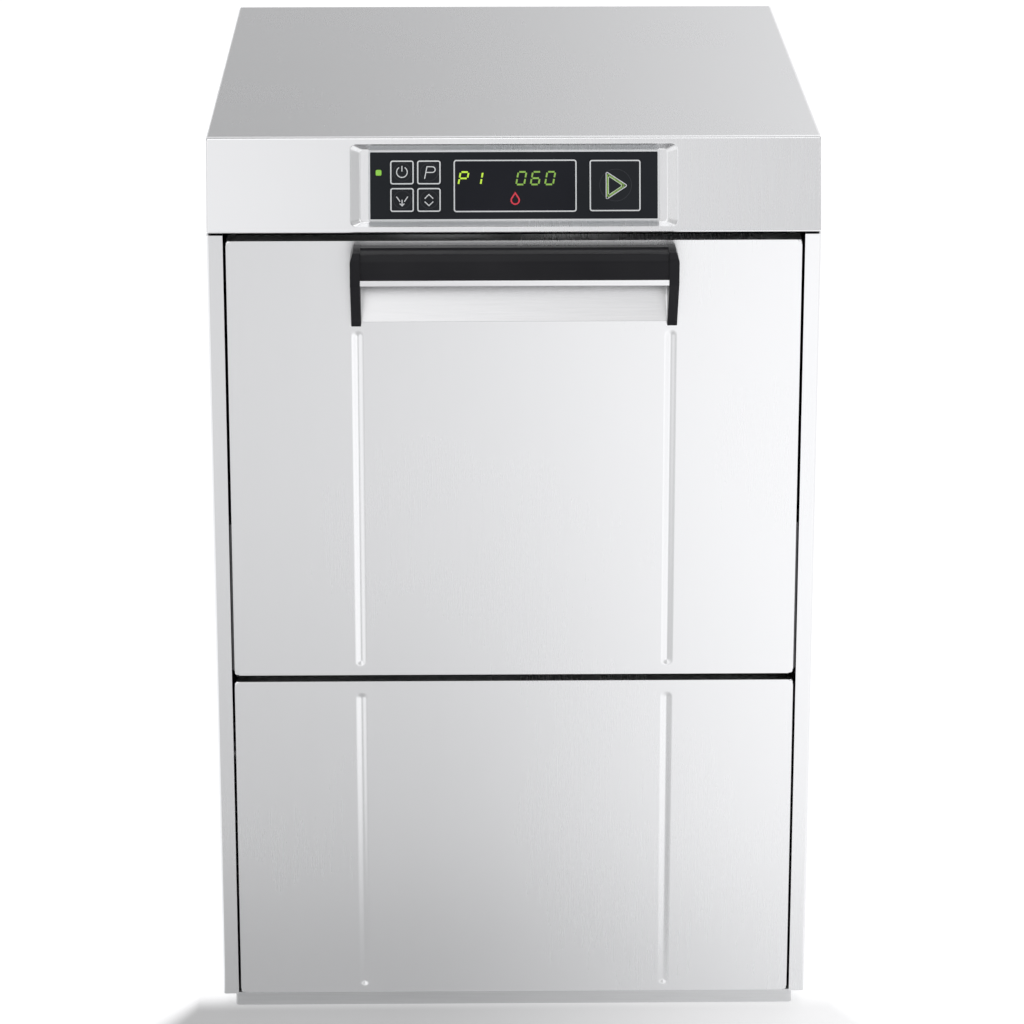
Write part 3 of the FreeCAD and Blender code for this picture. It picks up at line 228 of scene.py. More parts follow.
def brushed_metal(name, dark, light, grain, rough, strength=0.12):
    """Metal with fine brush lines. The grain is the scale per axis: small along the lines."""
    material, tree, shader = new_material(name)
    shader.inputs["Metallic"].default_value = 1.0
    lines = noise(tree, object_place(tree, grain), 1.0, 5.0, 0.62)
    clouds = noise(tree, object_place(tree, (1, 1, 1)), 5.0, 3.0)
    tree.links.new(tint(tree, lines, dark, light), shader.inputs["Base Color"])
    blend = tree.nodes.new("ShaderNodeMath")
    blend.operation = "ADD"
    tree.links.new(remap(tree, lines, rough[0], rough[1]), blend.inputs[0])
    tree.links.new(remap(tree, clouds, -0.015, 0.015), blend.inputs[1])
    tree.links.new(blend.outputs[0], shader.inputs["Roughness"])
    bump(tree, lines, shader, strength, 0.00002)
    return material


def moulded(name, dark, light, rough, grain_scale=900.0, strength=0.15, gloss=0.5):
    """Moulded plastic or rubber: slight mottling, a fine surface texture."""
    material, tree, shader = new_material(name)
    place = object_place(tree, (1, 1, 1))
    mottle = noise(tree, place, 14.0, 4.0)
    grain = noise(tree, place, grain_scale, 2.0)
    tree.links.new(tint(tree, mottle, dark, light), shader.inputs["Base Color"])
    tree.links.new(remap(tree, mottle, rough[0], rough[1]), shader.inputs["Roughness"])
    shader.inputs["Specular IOR Level"].default_value = gloss
    bump(tree, grain, shader, strength, 0.00003)
    return material


def glowing(name, colour, strength):
    """A lit printed or LED element."""
    material, tree, shader = new_material(name)
    place = object_place(tree, (1, 1, 1))
    shade = noise(tree, place, 420.0, 2.0)
    darker = tuple(c * 0.8 for c in colour)
    lit = tint(tree, shade, darker, colour)
    tree.links.new(lit, shader.inputs["Base Color"])
    tree.links.new(lit, shader.inputs["Emission Color"])
    shader.inputs["Emission Strength"].default_value = strength
    shader.inputs["Roughness"].default_value = 0.35
    return material


def maths(tree, operation, first, second):
    """A maths node between a value and a number or another value."""
    node = tree.nodes.new("ShaderNodeMath")
    node.operation = operation
    for socket, value in zip(node.inputs, (first, second)):
        if isinstance(value, (int, float)):
            socket.default_value = value
        else:
            tree.links.new(value, socket)
    return node.outputs[0]


def floor_material():
    """A pale floor with painted light: it glows a little, and less so in front of the machine and to the
    left, which is a painted shade.
    """
    material, tree, shader = new_material("floor_paint")
    place = tree.nodes.new("ShaderNodeTexCoord")
    split = tree.nodes.new("ShaderNodeSeparateXYZ")
    tree.links.new(place.outputs["Object"], split.inputs[0])
    x, y = split.outputs["X"], split.outputs["Y"]
    sideways = spread(tree, x, -1.3, 0.7)
    foot = graded(tree, sideways, [(0.0, 0.10), (0.44, 0.15), (0.64, 0.17), (0.95, 0.62)])
    near = graded(tree, sideways, [(0.0, 0.20), (0.44, 0.29), (0.64, 0.31), (0.95, 0.80)])
    far = graded(tree, sideways, [(0.0, 0.34), (0.44, 0.44), (0.64, 0.46), (0.95, 0.90)])
    around = graded(tree, sideways, [(0.0, 0.75), (1.0, 0.75)])
    front = blended(tree, spread(tree, y, -0.75, -1.7), near, far)
    front = blended(tree, spread(tree, y, -0.30, -0.75), foot, front)
    # the darker part, a painted shade rather than a cast shadow, starts at the machine's foot and widens
    # forwards, ever softer to the sides
    beside = maths(tree, "MAXIMUM", maths(tree, "SUBTRACT", maths(tree, "ABSOLUTE", x, 0.0), 0.25), 0.0)
    edge = maths(tree, "ADD", y, maths(tree, "MULTIPLY", beside, 1.2))
    softness = maths(tree, "ADD", maths(tree, "MULTIPLY", beside, 1.1), 0.037)
    share = maths(tree, "DIVIDE", maths(tree, "SUBTRACT", -0.225, edge), softness)
    glow = blended(tree, spread(tree, share, 0.0, 1.0), around, front)
    tree.links.new(glow, shader.inputs["Emission Color"])
    shader.inputs["Emission Strength"].default_value = 1.0
    shader.inputs["Base Color"].default_value = (0.45, 0.45, 0.45, 1)
    shader.inputs["Roughness"].default_value = 0.8
    shader.inputs["Specular IOR Level"].default_value = 0.1
    return material


# ---- mesh helpers -------------------------------------------------------------------
CREASE = math.radians(32)    # folds sharper than this keep a hard edge


def place_mesh(name, plan, material, body):
    """Turns a bmesh into a piece that rides on a body, smooth but for its real edges."""
    bmesh.ops.recalc_face_normals(plan, faces=plan.faces)
    for edge in plan.edges:
        edge.smooth = len(edge.link_faces) == 2 and edge.calc_face_angle(0.0) < CREASE
    for face in plan.faces:
        face.smooth = True
    mesh = bpy.data.meshes.new(name)
    plan.to_mesh(mesh)
    plan.free()
    piece = bpy.data.objects.new(name, mesh)
    bpy.context.scene.collection.objects.link(piece)
    piece.data.materials.append(material)
    weighted = piece.modifiers.new("weighted", "WEIGHTED_NORMAL")
    weighted.keep_sharp = True
    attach(piece, body)
    return piece


def face_forward(plan):
    """Turns an open skin so that its large faces look out of the front (towards -Y)."""
    bmesh.ops.recalc_face_normals(plan, faces=plan.faces)
    plan.normal_update()
    if sum(face.normal.y * face.calc_area() for face in plan.faces) > 0:
        bmesh.ops.reverse_faces(plan, faces=plan.faces)
        plan.normal_update()


def thicken(plan, thickness):
    """Gives an open skin its sheet thickness, behind the side that looks out."""
    face_forward(plan)
    inner = {}
    for vert in list(plan.verts):
        stretch = min(vert.calc_shell_factor(), 1.6)
        inner[vert] = plan.verts.new(vert.co - vert.normal * thickness * stretch)
    rims = [(loop.vert, loop.link_loop_next.vert) for edge in plan.edges
            if len(edge.link_faces) == 1 for loop in edge.link_loops]
    for face in list(plan.faces):
        plan.faces.new([inner[vert] for vert in reversed(face.verts)])
    for first, second in rims:
        plan.faces.new((second, first, inner[first], inner[second]))


def merged(values, gap=0.2 * MM):
    """Sorted grid lines, with lines closer together than the gap merged."""
    lines = []
    for value in sorted(values):
        if not lines or value - lines[-1] > gap:
            lines.append(value)
    return lines


def fold_back(plan, depth, radius, on_rim, corners):
    """Folds the rim of a front skin back to a depth and rounds the folds."""
    rim = [edge for edge in plan.edges if len(edge.link_faces) == 1 and on_rim(edge)]
    ring = dict.fromkeys(vert for edge in rim for vert in edge.verts)
    made = bmesh.ops.extrude_edge_only(plan, edges=rim)["geom"]
    for vert in made:
        if isinstance(vert, bmesh.types.BMVert):
            vert.co.y = depth
    folds = dict.fromkeys(rim)
    for vert in ring:
        if any((vert.co.xz - corner).length < 0.01 * MM for corner in corners):
            folds.update(dict.fromkeys(
                edge for edge in vert.link_edges if edge not in folds
                and abs(edge.verts[0].co.y - edge.verts[1].co.y) > 6 * MM))
    bmesh.ops.bevel(plan, geom=list(folds), offset=radius, segments=4, profile=0.5,
                    affect="EDGES", clamp_overlap=True)


def rounded_outline(points, steps=6):
    """A closed outline from (a, b, radius) corners; each corner becomes an arc."""
    outline = []
    count = len(points)
    for index, (a, b, radius) in enumerate(points):
        corner = Vector((a, b))
        before = Vector(points[index - 1][:2]) - corner
        after = Vector(points[(index + 1) % count][:2]) - corner
        if radius <= 0:
            outline.append(corner)
            continue
        half = before.angle(after) / 2
        trim = min(radius / math.tan(half), before.length * 0.49, after.length * 0.49)
        radius = trim * math.tan(half)
        start = corner + before.normalized() * trim
        end = corner + after.normalized() * trim
        middle = corner + (before.normalized() + after.normalized()).normalized() * radius / math.sin(half)
        swing = (start - middle).angle_signed(end - middle)
        for step in range(steps + 1):
            turn = Matrix.Rotation(-swing * step / steps, 2)
            outline.append(middle + turn @ (start - middle))
    return outline


def rounded_rectangle(middle_a, middle_b, width, height, radius, steps=6):
    a, b = width / 2, height / 2
    corners = [(middle_a - a, middle_b - b, radius), (middle_a + a, middle_b - b, radius),
               (middle_a + a, middle_b + b, radius), (middle_a - a, middle_b + b, radius)]
    return rounded_outline(corners, steps)


def side_prism(outline, x0, x1):
    """A solid from a (y, z) outline, from x0 to x1."""
    plan = bmesh.new()
    ends = [[plan.verts.new((x, p.x, p.y)) for p in outline] for x in (x0, x1)]
    count = len(outline)
    for index in range(count):
        after = (index + 1) % count
        plan.faces.new((ends[0][index], ends[0][after], ends[1][after], ends[1][index]))
    plan.faces.new(ends[0])
    plan.faces.new(list(reversed(ends[1])))
    bmesh.ops.recalc_face_normals(plan, faces=plan.faces)
    return plan


def bevel_sharp(plan, radius, angle, segments):
    """Rounds every edge that is sharper than an angle in degrees."""
    sharp = [edge for edge in plan.edges if len(edge.link_faces) == 2
             and edge.calc_face_angle(0.0) > math.radians(angle)]
    bmesh.ops.bevel(plan, geom=sharp, offset=radius, segments=segments, profile=0.5,
                    affect="EDGES", clamp_overlap=True)


# ---- pressed steel panels -----------------------------------------------------------
BEAD_X = 118.0 * MM
BEAD_HALF = 4.4 * MM
BEAD_DEPTH = 1.5 * MM
DOOR_BEADS = (287 * MM, 555 * MM)          # low and high ends of the beads
LOWER_BEADS = (18 * MM, 265 * MM)
HANDLE_HOLE = (-115.8 * MM, 115.8 * MM, 562.0 * MM, 617.0 * MM)    # left, right, low, high
JOINT_LINE = 0.8 * MM                      # fine gap between the lower panel and the plinth


def bead_depth(x, z, low, high):
    """How far the sheet is pressed in at a place: two straight beads with rounded ends."""
    deepest = 0.0
    for side in (-BEAD_X, BEAD_X):
        nearest = min(max(z, low + BEAD_HALF), high - BEAD_HALF)
        away = math.hypot(x - side, z - nearest) / BEAD_HALF
        if away < 1:
            # straight flanks, softened at the bottom and at the edges
            soft = 0.5 * (1 + math.cos(math.pi * away))
            deepest = max(deepest, BEAD_DEPTH * (0.45 * soft + 0.55 * (1 - away)))
    return deepest


def pressed_panel(name, low, high, bead_low, bead_high, material, body, slot, node, depth, hole=None):
    """A front panel of folded sheet with two pressed beads and, in the door, a hole."""
    edge_line = 3.5 * MM
    step = 0.7 * MM
    xs = [low.x, low.x + edge_line, 0.0, high.x - edge_line, high.x]
    zs = [low.z, low.z + edge_line, high.z - edge_line, high.z]
    for side in (-BEAD_X, BEAD_X):
        xs += [side + step * count for count in range(-7, 8)]
    for end in (bead_low + BEAD_HALF, bead_high - BEAD_HALF):
        zs += [end + step * count for count in range(-7, 8)]
    zs += [bead_low + (bead_high - bead_low) * part / 6 for part in range(1, 6)]
    if hole:
        xs += [hole[0], hole[1]]
        zs += [hole[2], hole[3]]
    xs, zs = merged(xs), merged(zs)
    plan = bmesh.new()
    grid = [[plan.verts.new((x, low.y + bead_depth(x, z, bead_low, bead_high), z)) for x in xs] for z in zs]
    for row in range(len(zs) - 1):
        for column in range(len(xs) - 1):
            middle_x = (xs[column] + xs[column + 1]) / 2
            middle_z = (zs[row] + zs[row + 1]) / 2
            if hole and hole[0] < middle_x < hole[1] and hole[2] < middle_z < hole[3]:
                continue
            plan.faces.new((grid[row][column], grid[row][column + 1],
                            grid[row + 1][column + 1], grid[row + 1][column]))

    def on_rim(edge):
        middle = (edge.verts[0].co + edge.verts[1].co) / 2
        return (min(abs(middle.x - low.x), abs(middle.x - high.x)) < 0.1 * MM
                or min(abs(middle.z - low.z), abs(middle.z - high.z)) < 0.1 * MM)

    corners = [Vector((x, z)) for x in (low.x, high.x) for z in (low.z, high.z)]
    fold_back(plan, depth, 1.6 * MM, on_rim, corners)
    thicken(plan, SHEET)
    piece = place_mesh(name, plan, material, body)
    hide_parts(node)
    return piece


# ---- the leaning control fascia -----------------------------------------------------
FASCIA_BOTTOM = FASCIA_LOW.z
FASCIA_TOP = FASCIA_HIGH.z
FASCIA_LEAN = 19.6 * MM      # the top edge stands this far behind the bottom edge
FASCIA_BACK = FASCIA_HIGH.y
LEAN = math.atan2(FASCIA_LEAN, FASCIA_TOP - FASCIA_BOTTOM)
SLOPE = (Matrix.Translation((0, FRONT + FASCIA_LEAN / 2, (FASCIA_TOP + FASCIA_BOTTOM) / 2))
         @ Matrix.Rotation(-LEAN, 4, "X"))
SLOPE_HALF = math.hypot(FASCIA_LEAN, FASCIA_TOP - FASCIA_BOTTOM) / 2
HALF_WIDTH = FASCIA_HIGH.x
PANEL_FRONT = 2.5 * MM       # depth of the control panel's face
KEY_FRONT = 2.1 * MM         # depth of the key faces


def make_fascia(material):
    """The folded fascia with its pressed dish; the control panel sits on the dish floor."""
    rings = [  # half width, half height, corner radius, depth
        (122.8, 31.5, 5.0, 0.0), (122.2, 30.9, 4.5, 0.15), (121.8, 30.5, 4.2, 0.6),
        (116.0, 27.8, 3.2, 4.4), (115.4, 27.2, 2.8, 4.9), (114.6, 26.5, 2.4, 5.0),
        (104.5, 22.0, 2.0, 5.0)]
    plan = bmesh.new()
    loops = []
    for half, height, corner, depth in rings:
        outline = rounded_rectangle(0, 0, 2 * half * MM, 2 * height * MM, corner * MM)
        loops.append([plan.verts.new(SLOPE @ Vector((p.x, depth * MM, p.y))) for p in outline])
    count = len(loops[0])
    for outer, inner in zip(loops, loops[1:]):
        for index in range(count):
            after = (index + 1) % count
            plan.faces.new((outer[index], outer[after], inner[after], inner[index]))
    signs = ((-1, -1), (1, -1), (1, 1), (-1, 1))
    corners = [plan.verts.new(SLOPE @ Vector((a * HALF_WIDTH, 0, b * SLOPE_HALF))) for a, b in signs]
    share = count // 4
    for side in range(4):
        after = (side + 1) % 4
        arc = [loops[0][(side * share + step) % count] for step in range(share)]
        next_start = loops[0][(side + 1) * share % count]
        for first, second in zip(arc, arc[1:]):
            plan.faces.new((corners[side], second, first))
        plan.faces.new((corners[side], corners[after], next_start, arc[-1]))

    def on_rim(edge):
        return all(vert in corners for vert in edge.verts)

    flat = [vert.co.xz.copy() for vert in corners]
    fold_back(plan, FASCIA_BACK, 1.5 * MM, on_rim, flat)
    thicken(plan, SHEET)
    piece = place_mesh("fascia_skin", plan, material, "cabinet")
    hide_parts("fascia")


def slope_stroke(plan, points, width, y0, y1, closed=False):
    """Adds a line of a given width on the slope, with mitred corners."""
    line = [Vector(p) for p in points]
    count = len(line)
    sides = []
    for index, here in enumerate(line):
        before = line[index - 1] if closed or index else None
        after = line[(index + 1) % count] if closed or index < count - 1 else None
        along_in = (here - before).normalized() if before is not None else (after - here).normalized()
        along_out = (after - here).normalized() if after is not None else along_in
        normal_in = Vector((-along_in.y, along_in.x))
        normal_out = Vector((-along_out.y, along_out.x))
        mitre = (normal_in + normal_out).normalized()
        reach = width / 2 / max(mitre.dot(normal_in), 0.35)
        sides.append((here + mitre * reach, here - mitre * reach))
    rings = []
    for left, right in sides:
        rings.append([plan.verts.new(SLOPE @ Vector((p.x, y, p.y)))
                      for p, y in ((left, y0), (right, y0), (right, y1), (left, y1))])
    last = count if closed else count - 1
    for index in range(last):
        first, second = rings[index], rings[(index + 1) % count]
        for corner in range(4):
            after = (corner + 1) % 4
            plan.faces.new((first[corner], first[after], second[after], second[corner]))
    if not closed:
        plan.faces.new(rings[0])
        plan.faces.new(list(reversed(rings[-1])))


INK = 0.05 * MM              # how far a printed line stands on its surface


def arc_points(middle_x, middle_v, radius, start, end, steps=20):
    turns = [math.radians(start + (end - start) * step / steps) for step in range(steps + 1)]
    return [(middle_x + radius * math.cos(t), middle_v + radius * math.sin(t)) for t in turns]


def millimetres(points):
    return [(x * MM, v * MM) for x, v in points]


# ---- control panel prints -----------------------------------------------------------
# name: middle along x, middle up the slope, width, height, radius of the soft dome, all in mm; a painted
# highlight ring marks the dome
KEYS = {
    "key_power": (-83.7, 9.9, 18.2, 18.4, 6.6),
    "key_program": (-63.6, 9.9, 18.2, 18.4, 6.6),
    "key_drain": (-83.7, -10.6, 18.2, 18.4, 6.6),
    "key_select": (-63.6, -10.6, 18.2, 18.4, 6.6),
    "key_start": (75.65, -0.3, 38.7, 38.9, 11.9),
}
DISPLAY = (0.9, -0.3, 92.0, 39.0)      # middle along x, middle up the slope, width, height, mm
PANEL_WIDTH = 217.0          # control panel, mm
PANEL_HEIGHT = 52.0
PANEL_CORNER = 1.6
OUTLINE = 0.95               # width of the printed outlines, mm
SYMBOL_WIDTH = 0.72          # width of the key symbols, mm


def outline_points(middle_x, middle_v, width, height, corner):
    """Middle line of a printed outline that lies just inside a rectangle, in mm."""
    ring = rounded_rectangle(middle_x, middle_v, width - OUTLINE, height - OUTLINE, corner, 5)
    return [(p.x, p.y) for p in ring]


def printed(name, strokes, material, body, surface):
    """Printed lines on a surface at a depth: (points in mm, width in mm, closed) each."""
    plan = bmesh.new()
    for points, width, closed in strokes:
        slope_stroke(plan, millimetres(points), width * MM, surface - INK, surface + INK, closed)
    return place_mesh(name, plan, material, body)


def key_symbols():
    """The line symbol of each key: points in mm, closed or not."""
    x, v = KEYS["key_power"][:2]
    power = [(arc_points(x, v + 0.3, 4.0, 122, 418), False), ([(x, v + 4.9), (x, v + 0.8)], False)]
    x, v = KEYS["key_program"][:2]
    bowl = arc_points(x + 2.6, v + 2.1, 2.15, -80, 85, 8)
    program = [([(x - 3.2, v - 4.7), (x - 1.4, v + 4.25)] + bowl[::-1] + [(x - 2.2, v + 0.0)], False)]
    x, v = KEYS["key_drain"][:2]
    drain = [([(x - 4.2, v + 2.5), (x - 1.5, v - 1.3)], False),
             ([(x + 4.3, v + 2.5), (x + 1.7, v - 1.3)], False),
             ([(x, v + 0.2), (x, v - 4.2)], False),
             ([(x - 1.7, v - 2.7), (x, v - 4.4), (x + 1.7, v - 2.7)], False)]
    x, v = KEYS["key_select"][:2]
    select = [([(x - 3.2, v + 0.9), (x, v + 4.1), (x + 3.2, v + 0.9)], False),
              ([(x - 3.2, v - 1.3), (x, v - 4.3), (x + 3.2, v - 1.3)], False)]
    return {"key_power": power, "key_program": program, "key_drain": drain, "key_select": select}


SEGMENTS = {  # ends of the seven bars of a digit, as shares of its width and height
    "a": ((0, 1), (1, 1)), "b": ((1, 1), (1, 0.5)), "c": ((1, 0.5), (1, 0)), "d": ((0, 0), (1, 0)),
    "e": ((0, 0.5), (0, 0)), "f": ((0, 1), (0, 0.5)), "g": ((0, 0.5), (1, 0.5))}
DIGIT_WIDTH = 6.0            # readout characters, mm
DIGIT_HEIGHT = 9.4
DIGIT_SLANT = 0.19           # sideways lean per height
READOUT_BASE = 0.7           # foot of the characters above the panel's middle
BAR_WIDTH = 1.25
BAR_GAP = 0.62               # how much each end of a bar is cut short


def digit_bars(left, bars):
    """Slanted bars of one readout character, each a little shorter than its cell."""
    strokes = []
    for bar in bars:
        ends = []
        for share_x, share_z in SEGMENTS[bar]:
            v = READOUT_BASE + share_z * DIGIT_HEIGHT
            ends.append(Vector((left + share_x * DIGIT_WIDTH + (v - READOUT_BASE) * DIGIT_SLANT, v)))
        trim = (ends[1] - ends[0]).normalized() * BAR_GAP
        strokes.append(([tuple(ends[0] + trim), tuple(ends[1] - trim)], BAR_WIDTH, False))
    return strokes


def make_panel_border(material):
    """The light rim around the control panel: a thin frame that also covers its edges, where the white is a
    painted highlight standing in for the bright, lit wall of the dish.
    """
    plan = bmesh.new()
    # how far outside the panel's edge, and how deep, in mm
    section = ((-0.95, 2.45), (-0.95, 2.55), (0.02, 2.55), (0.02, 4.98),
               (0.35, 4.98), (0.35, 2.75), (0.12, 2.45))
    loops = []
    for grow, depth in section:
        ring = rounded_rectangle(0, 0, (PANEL_WIDTH + 2 * grow) * MM, (PANEL_HEIGHT + 2 * grow) * MM,
                                 (PANEL_CORNER + grow) * MM, 5)
        loops.append([plan.verts.new(SLOPE @ Vector((p.x, depth * MM, p.y))) for p in ring])
    count = len(loops[0])
    for number, first in enumerate(loops):
        second = loops[(number + 1) % len(loops)]
        for index in range(count):
            after = (index + 1) % count
            plan.faces.new((first[index], first[after], second[after], second[index]))
    place_mesh("panel_border", plan, material, "cabinet")


def make_prints(white, pale_green, lit_green, bright_green, red, dome):
    make_panel_border(white)
    x, v, width, height = DISPLAY
    frame_line = [(outline_points(x, v, width, height, 1.6), OUTLINE, True)]
    printed("display_outline", frame_line, white, "cabinet", PANEL_FRONT)
    symbols = key_symbols()
    for name, (x, v, width, height, soft) in KEYS.items():
        lines = [(outline_points(x, v, width - 0.6, height - 0.6, 1.4), OUTLINE, True)]
        lines += [(points, SYMBOL_WIDTH, closed) for points, closed in symbols.get(name, [])]
        printed(name + "_print", lines, white, name, KEY_FRONT)
        # a ring of slightly lighter black at the dome's edge: a painted highlight that stands in for the
        # dome's shading
        rim = [(arc_points(x + 0.03 * soft, v + 0.03 * soft, soft, 0, 348, 29), 0.5, True)]
        printed(name + "_dome_highlight_ring", rim, dome, name, KEY_FRONT)
    x, v = KEYS["key_start"][:2]
    triangles = (("start_outer_line", 0.0, 0.6, white), ("start_green_line", 0.9, 0.6, lit_green),
                 ("start_inner_line", 1.75, 0.5, pale_green))
    for name, inset, width, material in triangles:
        left = x - 6.7 + inset
        rise = 10.4 - inset * 1.85
        tip = x + 9.2 - inset * 2.0
        points = [(p.x, p.y) for p in rounded_outline(
            [(left, v - rise, 0.7), (tip, v, 0.9), (left, v + rise, 0.7)], 3)]
        printed(name, [(points, width, True)], material, "key_start", KEY_FRONT)
    bright = digit_bars(-41.6, "abefg") + digit_bars(-31.0, "bc")
    printed("readout_program", bright, bright_green, "cabinet", PANEL_FRONT)
    dim = digit_bars(1.6, "abcdef") + digit_bars(12.4, "acdefg") + digit_bars(23.2, "abcdef")
    printed("readout_minutes", dim, lit_green, "cabinet", PANEL_FRONT)
    drop = [(0.9, -5.6), (3.4, -9.4)] + arc_points(0.9, -11.0, 3.0, 20, -200, 12) + [(-1.6, -9.4)]
    printed("readout_drop", [(drop, 1.1, True)], red, "cabinet", PANEL_FRONT)


def make_status_light(material):
    """The small square lens with a slightly domed face."""
    plan = bmesh.new()
    rings = []
    for half, depth in ((2.15, 6.0), (2.15, 2.55), (1.95, 2.35), (1.2, 2.25)):
        ring = rounded_rectangle(-101.2 * MM, 9.8 * MM, 2 * half * MM, 2 * half * MM, 0.5 * half * MM, 4)
        rings.append([plan.verts.new(SLOPE @ Vector((p.x, depth * MM, p.y))) for p in ring])
    for outer, inner in zip(rings, rings[1:]):
        for index in range(len(outer)):
            after = (index + 1) % len(outer)
            plan.faces.new((outer[index], outer[after], inner[after], inner[index]))
    plan.faces.new(rings[-1])
    plan.faces.new(list(reversed(rings[0])))
    piece = place_mesh("status_lens", plan, material, "cabinet")
    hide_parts("status_light")


# ---- door handle --------------------------------------------------------------------
CAP_LOW, CAP_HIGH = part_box("handle_caps")
GRIP_LOW, GRIP_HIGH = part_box("handle_grip")
LIP_LOW, LIP_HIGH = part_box("handle_lip")
GRIP_HALF = GRIP_HIGH.x
REACH = CAP_LOW.y            # front of the handle


def make_handle(black, metal, steel):
    top = CAP_HIGH.z
    front = GRIP_LOW.y
    # the hollow grip: a curved front face, a top plate with a raised strip at its rear
    outline = rounded_outline([
        (FRONT, top - 5 * MM, 0), (FRONT, top - 0.7 * MM, 0.6 * MM),
        (FRONT - 7 * MM, top - 0.7 * MM, 0.5 * MM),
        (FRONT - 7.6 * MM, top - 1.8 * MM, 0.3 * MM), (front + 6.5 * MM, top - 2.0 * MM, 4 * MM),
        (front + 0.4 * MM, top - 6.5 * MM, 3 * MM), (front, GRIP_LOW.z + 6 * MM, 6 * MM),
        (front + 1.2 * MM, GRIP_LOW.z, 0.5 * MM), (front + 5.5 * MM, GRIP_LOW.z, 0.5 * MM),
        (front + 5.5 * MM, top - 9 * MM, 3 * MM), (front + 12 * MM, top - 5 * MM, 2 * MM)], 5)
    piece = place_mesh("grip_bar", side_prism(outline, -GRIP_HALF, GRIP_HALF), black, "door")
    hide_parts("handle_grip")

    # the metal lip that hangs below the grip, rounded along its lower edge
    outline = rounded_outline([
        (front + 0.9 * MM, LIP_LOW.z, 1.0 * MM), (front + 0.9 * MM, GRIP_LOW.z, 0.2 * MM),
        (front + 5.5 * MM, GRIP_LOW.z, 0), (front + 5.5 * MM, LIP_HIGH.z, 0.3 * MM),
        (LIP_HIGH.y, LIP_HIGH.z, 0.3 * MM), (LIP_HIGH.y, LIP_LOW.z, 1.6 * MM)], 5)
    piece = place_mesh("grip_lip", side_prism(outline, -GRIP_HALF, GRIP_HALF), metal, "door")
    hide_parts("handle_lip")

    # the finger scoop: a pressed pocket with a sloping floor
    low, high = CAP_LOW.z + 2.6 * MM, top - 5.6 * MM
    depth = FRONT + 12 * MM
    line = rounded_outline([(FRONT - 60 * MM, low - 175 * MM, 0), (depth, low + 35 * MM, 16 * MM),
                            (depth, high, 3 * MM), (FRONT - 60 * MM, high, 0)], 8)
    line = [p for p in line if p.x > FRONT - 20 * MM]
    line = [Vector((FRONT, low))] + line + [Vector((FRONT, high))]
    plan = bmesh.new()
    rows = [[plan.verts.new((x, p.x, p.y)) for p in line] for x in (-GRIP_HALF, GRIP_HALF)]
    for index in range(len(line) - 1):
        plan.faces.new((rows[0][index], rows[0][index + 1], rows[1][index + 1], rows[1][index]))
    for row in rows:
        plan.faces.new(row)
    walls = [edge for edge in plan.edges if len(edge.link_faces) == 2
             and abs(edge.verts[0].co.x - edge.verts[1].co.x) < 0.01 * MM
             and edge.calc_face_angle(0.0) > 1.0]
    bmesh.ops.bevel(plan, geom=walls, offset=1.6 * MM, segments=4, profile=0.5, affect="EDGES")
    thicken(plan, SHEET)
    piece = place_mesh("scoop_pocket", plan, steel, "door")
    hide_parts("handle_scoop")

    # the two end caps, with a slanted shoulder and softened edges
    outline = rounded_outline([
        (FRONT, CAP_LOW.z, 0.6 * MM), (FRONT - 5 * MM, CAP_LOW.z, 2 * MM),
        (FRONT - 7 * MM, CAP_LOW.z + 4.5 * MM, 4 * MM), (REACH, CAP_LOW.z + 38.5 * MM, 8 * MM),
        (REACH, top - 4.6 * MM, 2 * MM), (REACH + 4 * MM, top, 2 * MM), (FRONT, top, 0.6 * MM)], 5)
    plan = bmesh.new()
    for side in (-1, 1):
        cap = side_prism(outline, side * GRIP_HALF, side * CAP_HIGH.x)
        lean = math.radians(18)
        cut = bmesh.ops.bisect_plane(
            cap, geom=cap.verts[:] + cap.edges[:] + cap.faces[:],
            plane_co=(side * CAP_HIGH.x, 0, top - 6.5 * MM),
            plane_no=(side * math.cos(lean), 0, math.sin(lean)), clear_outer=True)
        rim = [item for item in cut["geom_cut"] if isinstance(item, bmesh.types.BMEdge)]
        bmesh.ops.holes_fill(cap, edges=rim, sides=0)
        bevel_sharp(cap, 0.55 * MM, 40.0, 3)
        mesh = bpy.data.meshes.new("cap_half")
        cap.to_mesh(mesh)
        cap.free()
        plan.from_mesh(mesh)
        bpy.data.meshes.remove(mesh)
    piece = place_mesh("grip_caps", plan, black, "door")
    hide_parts("handle_caps")


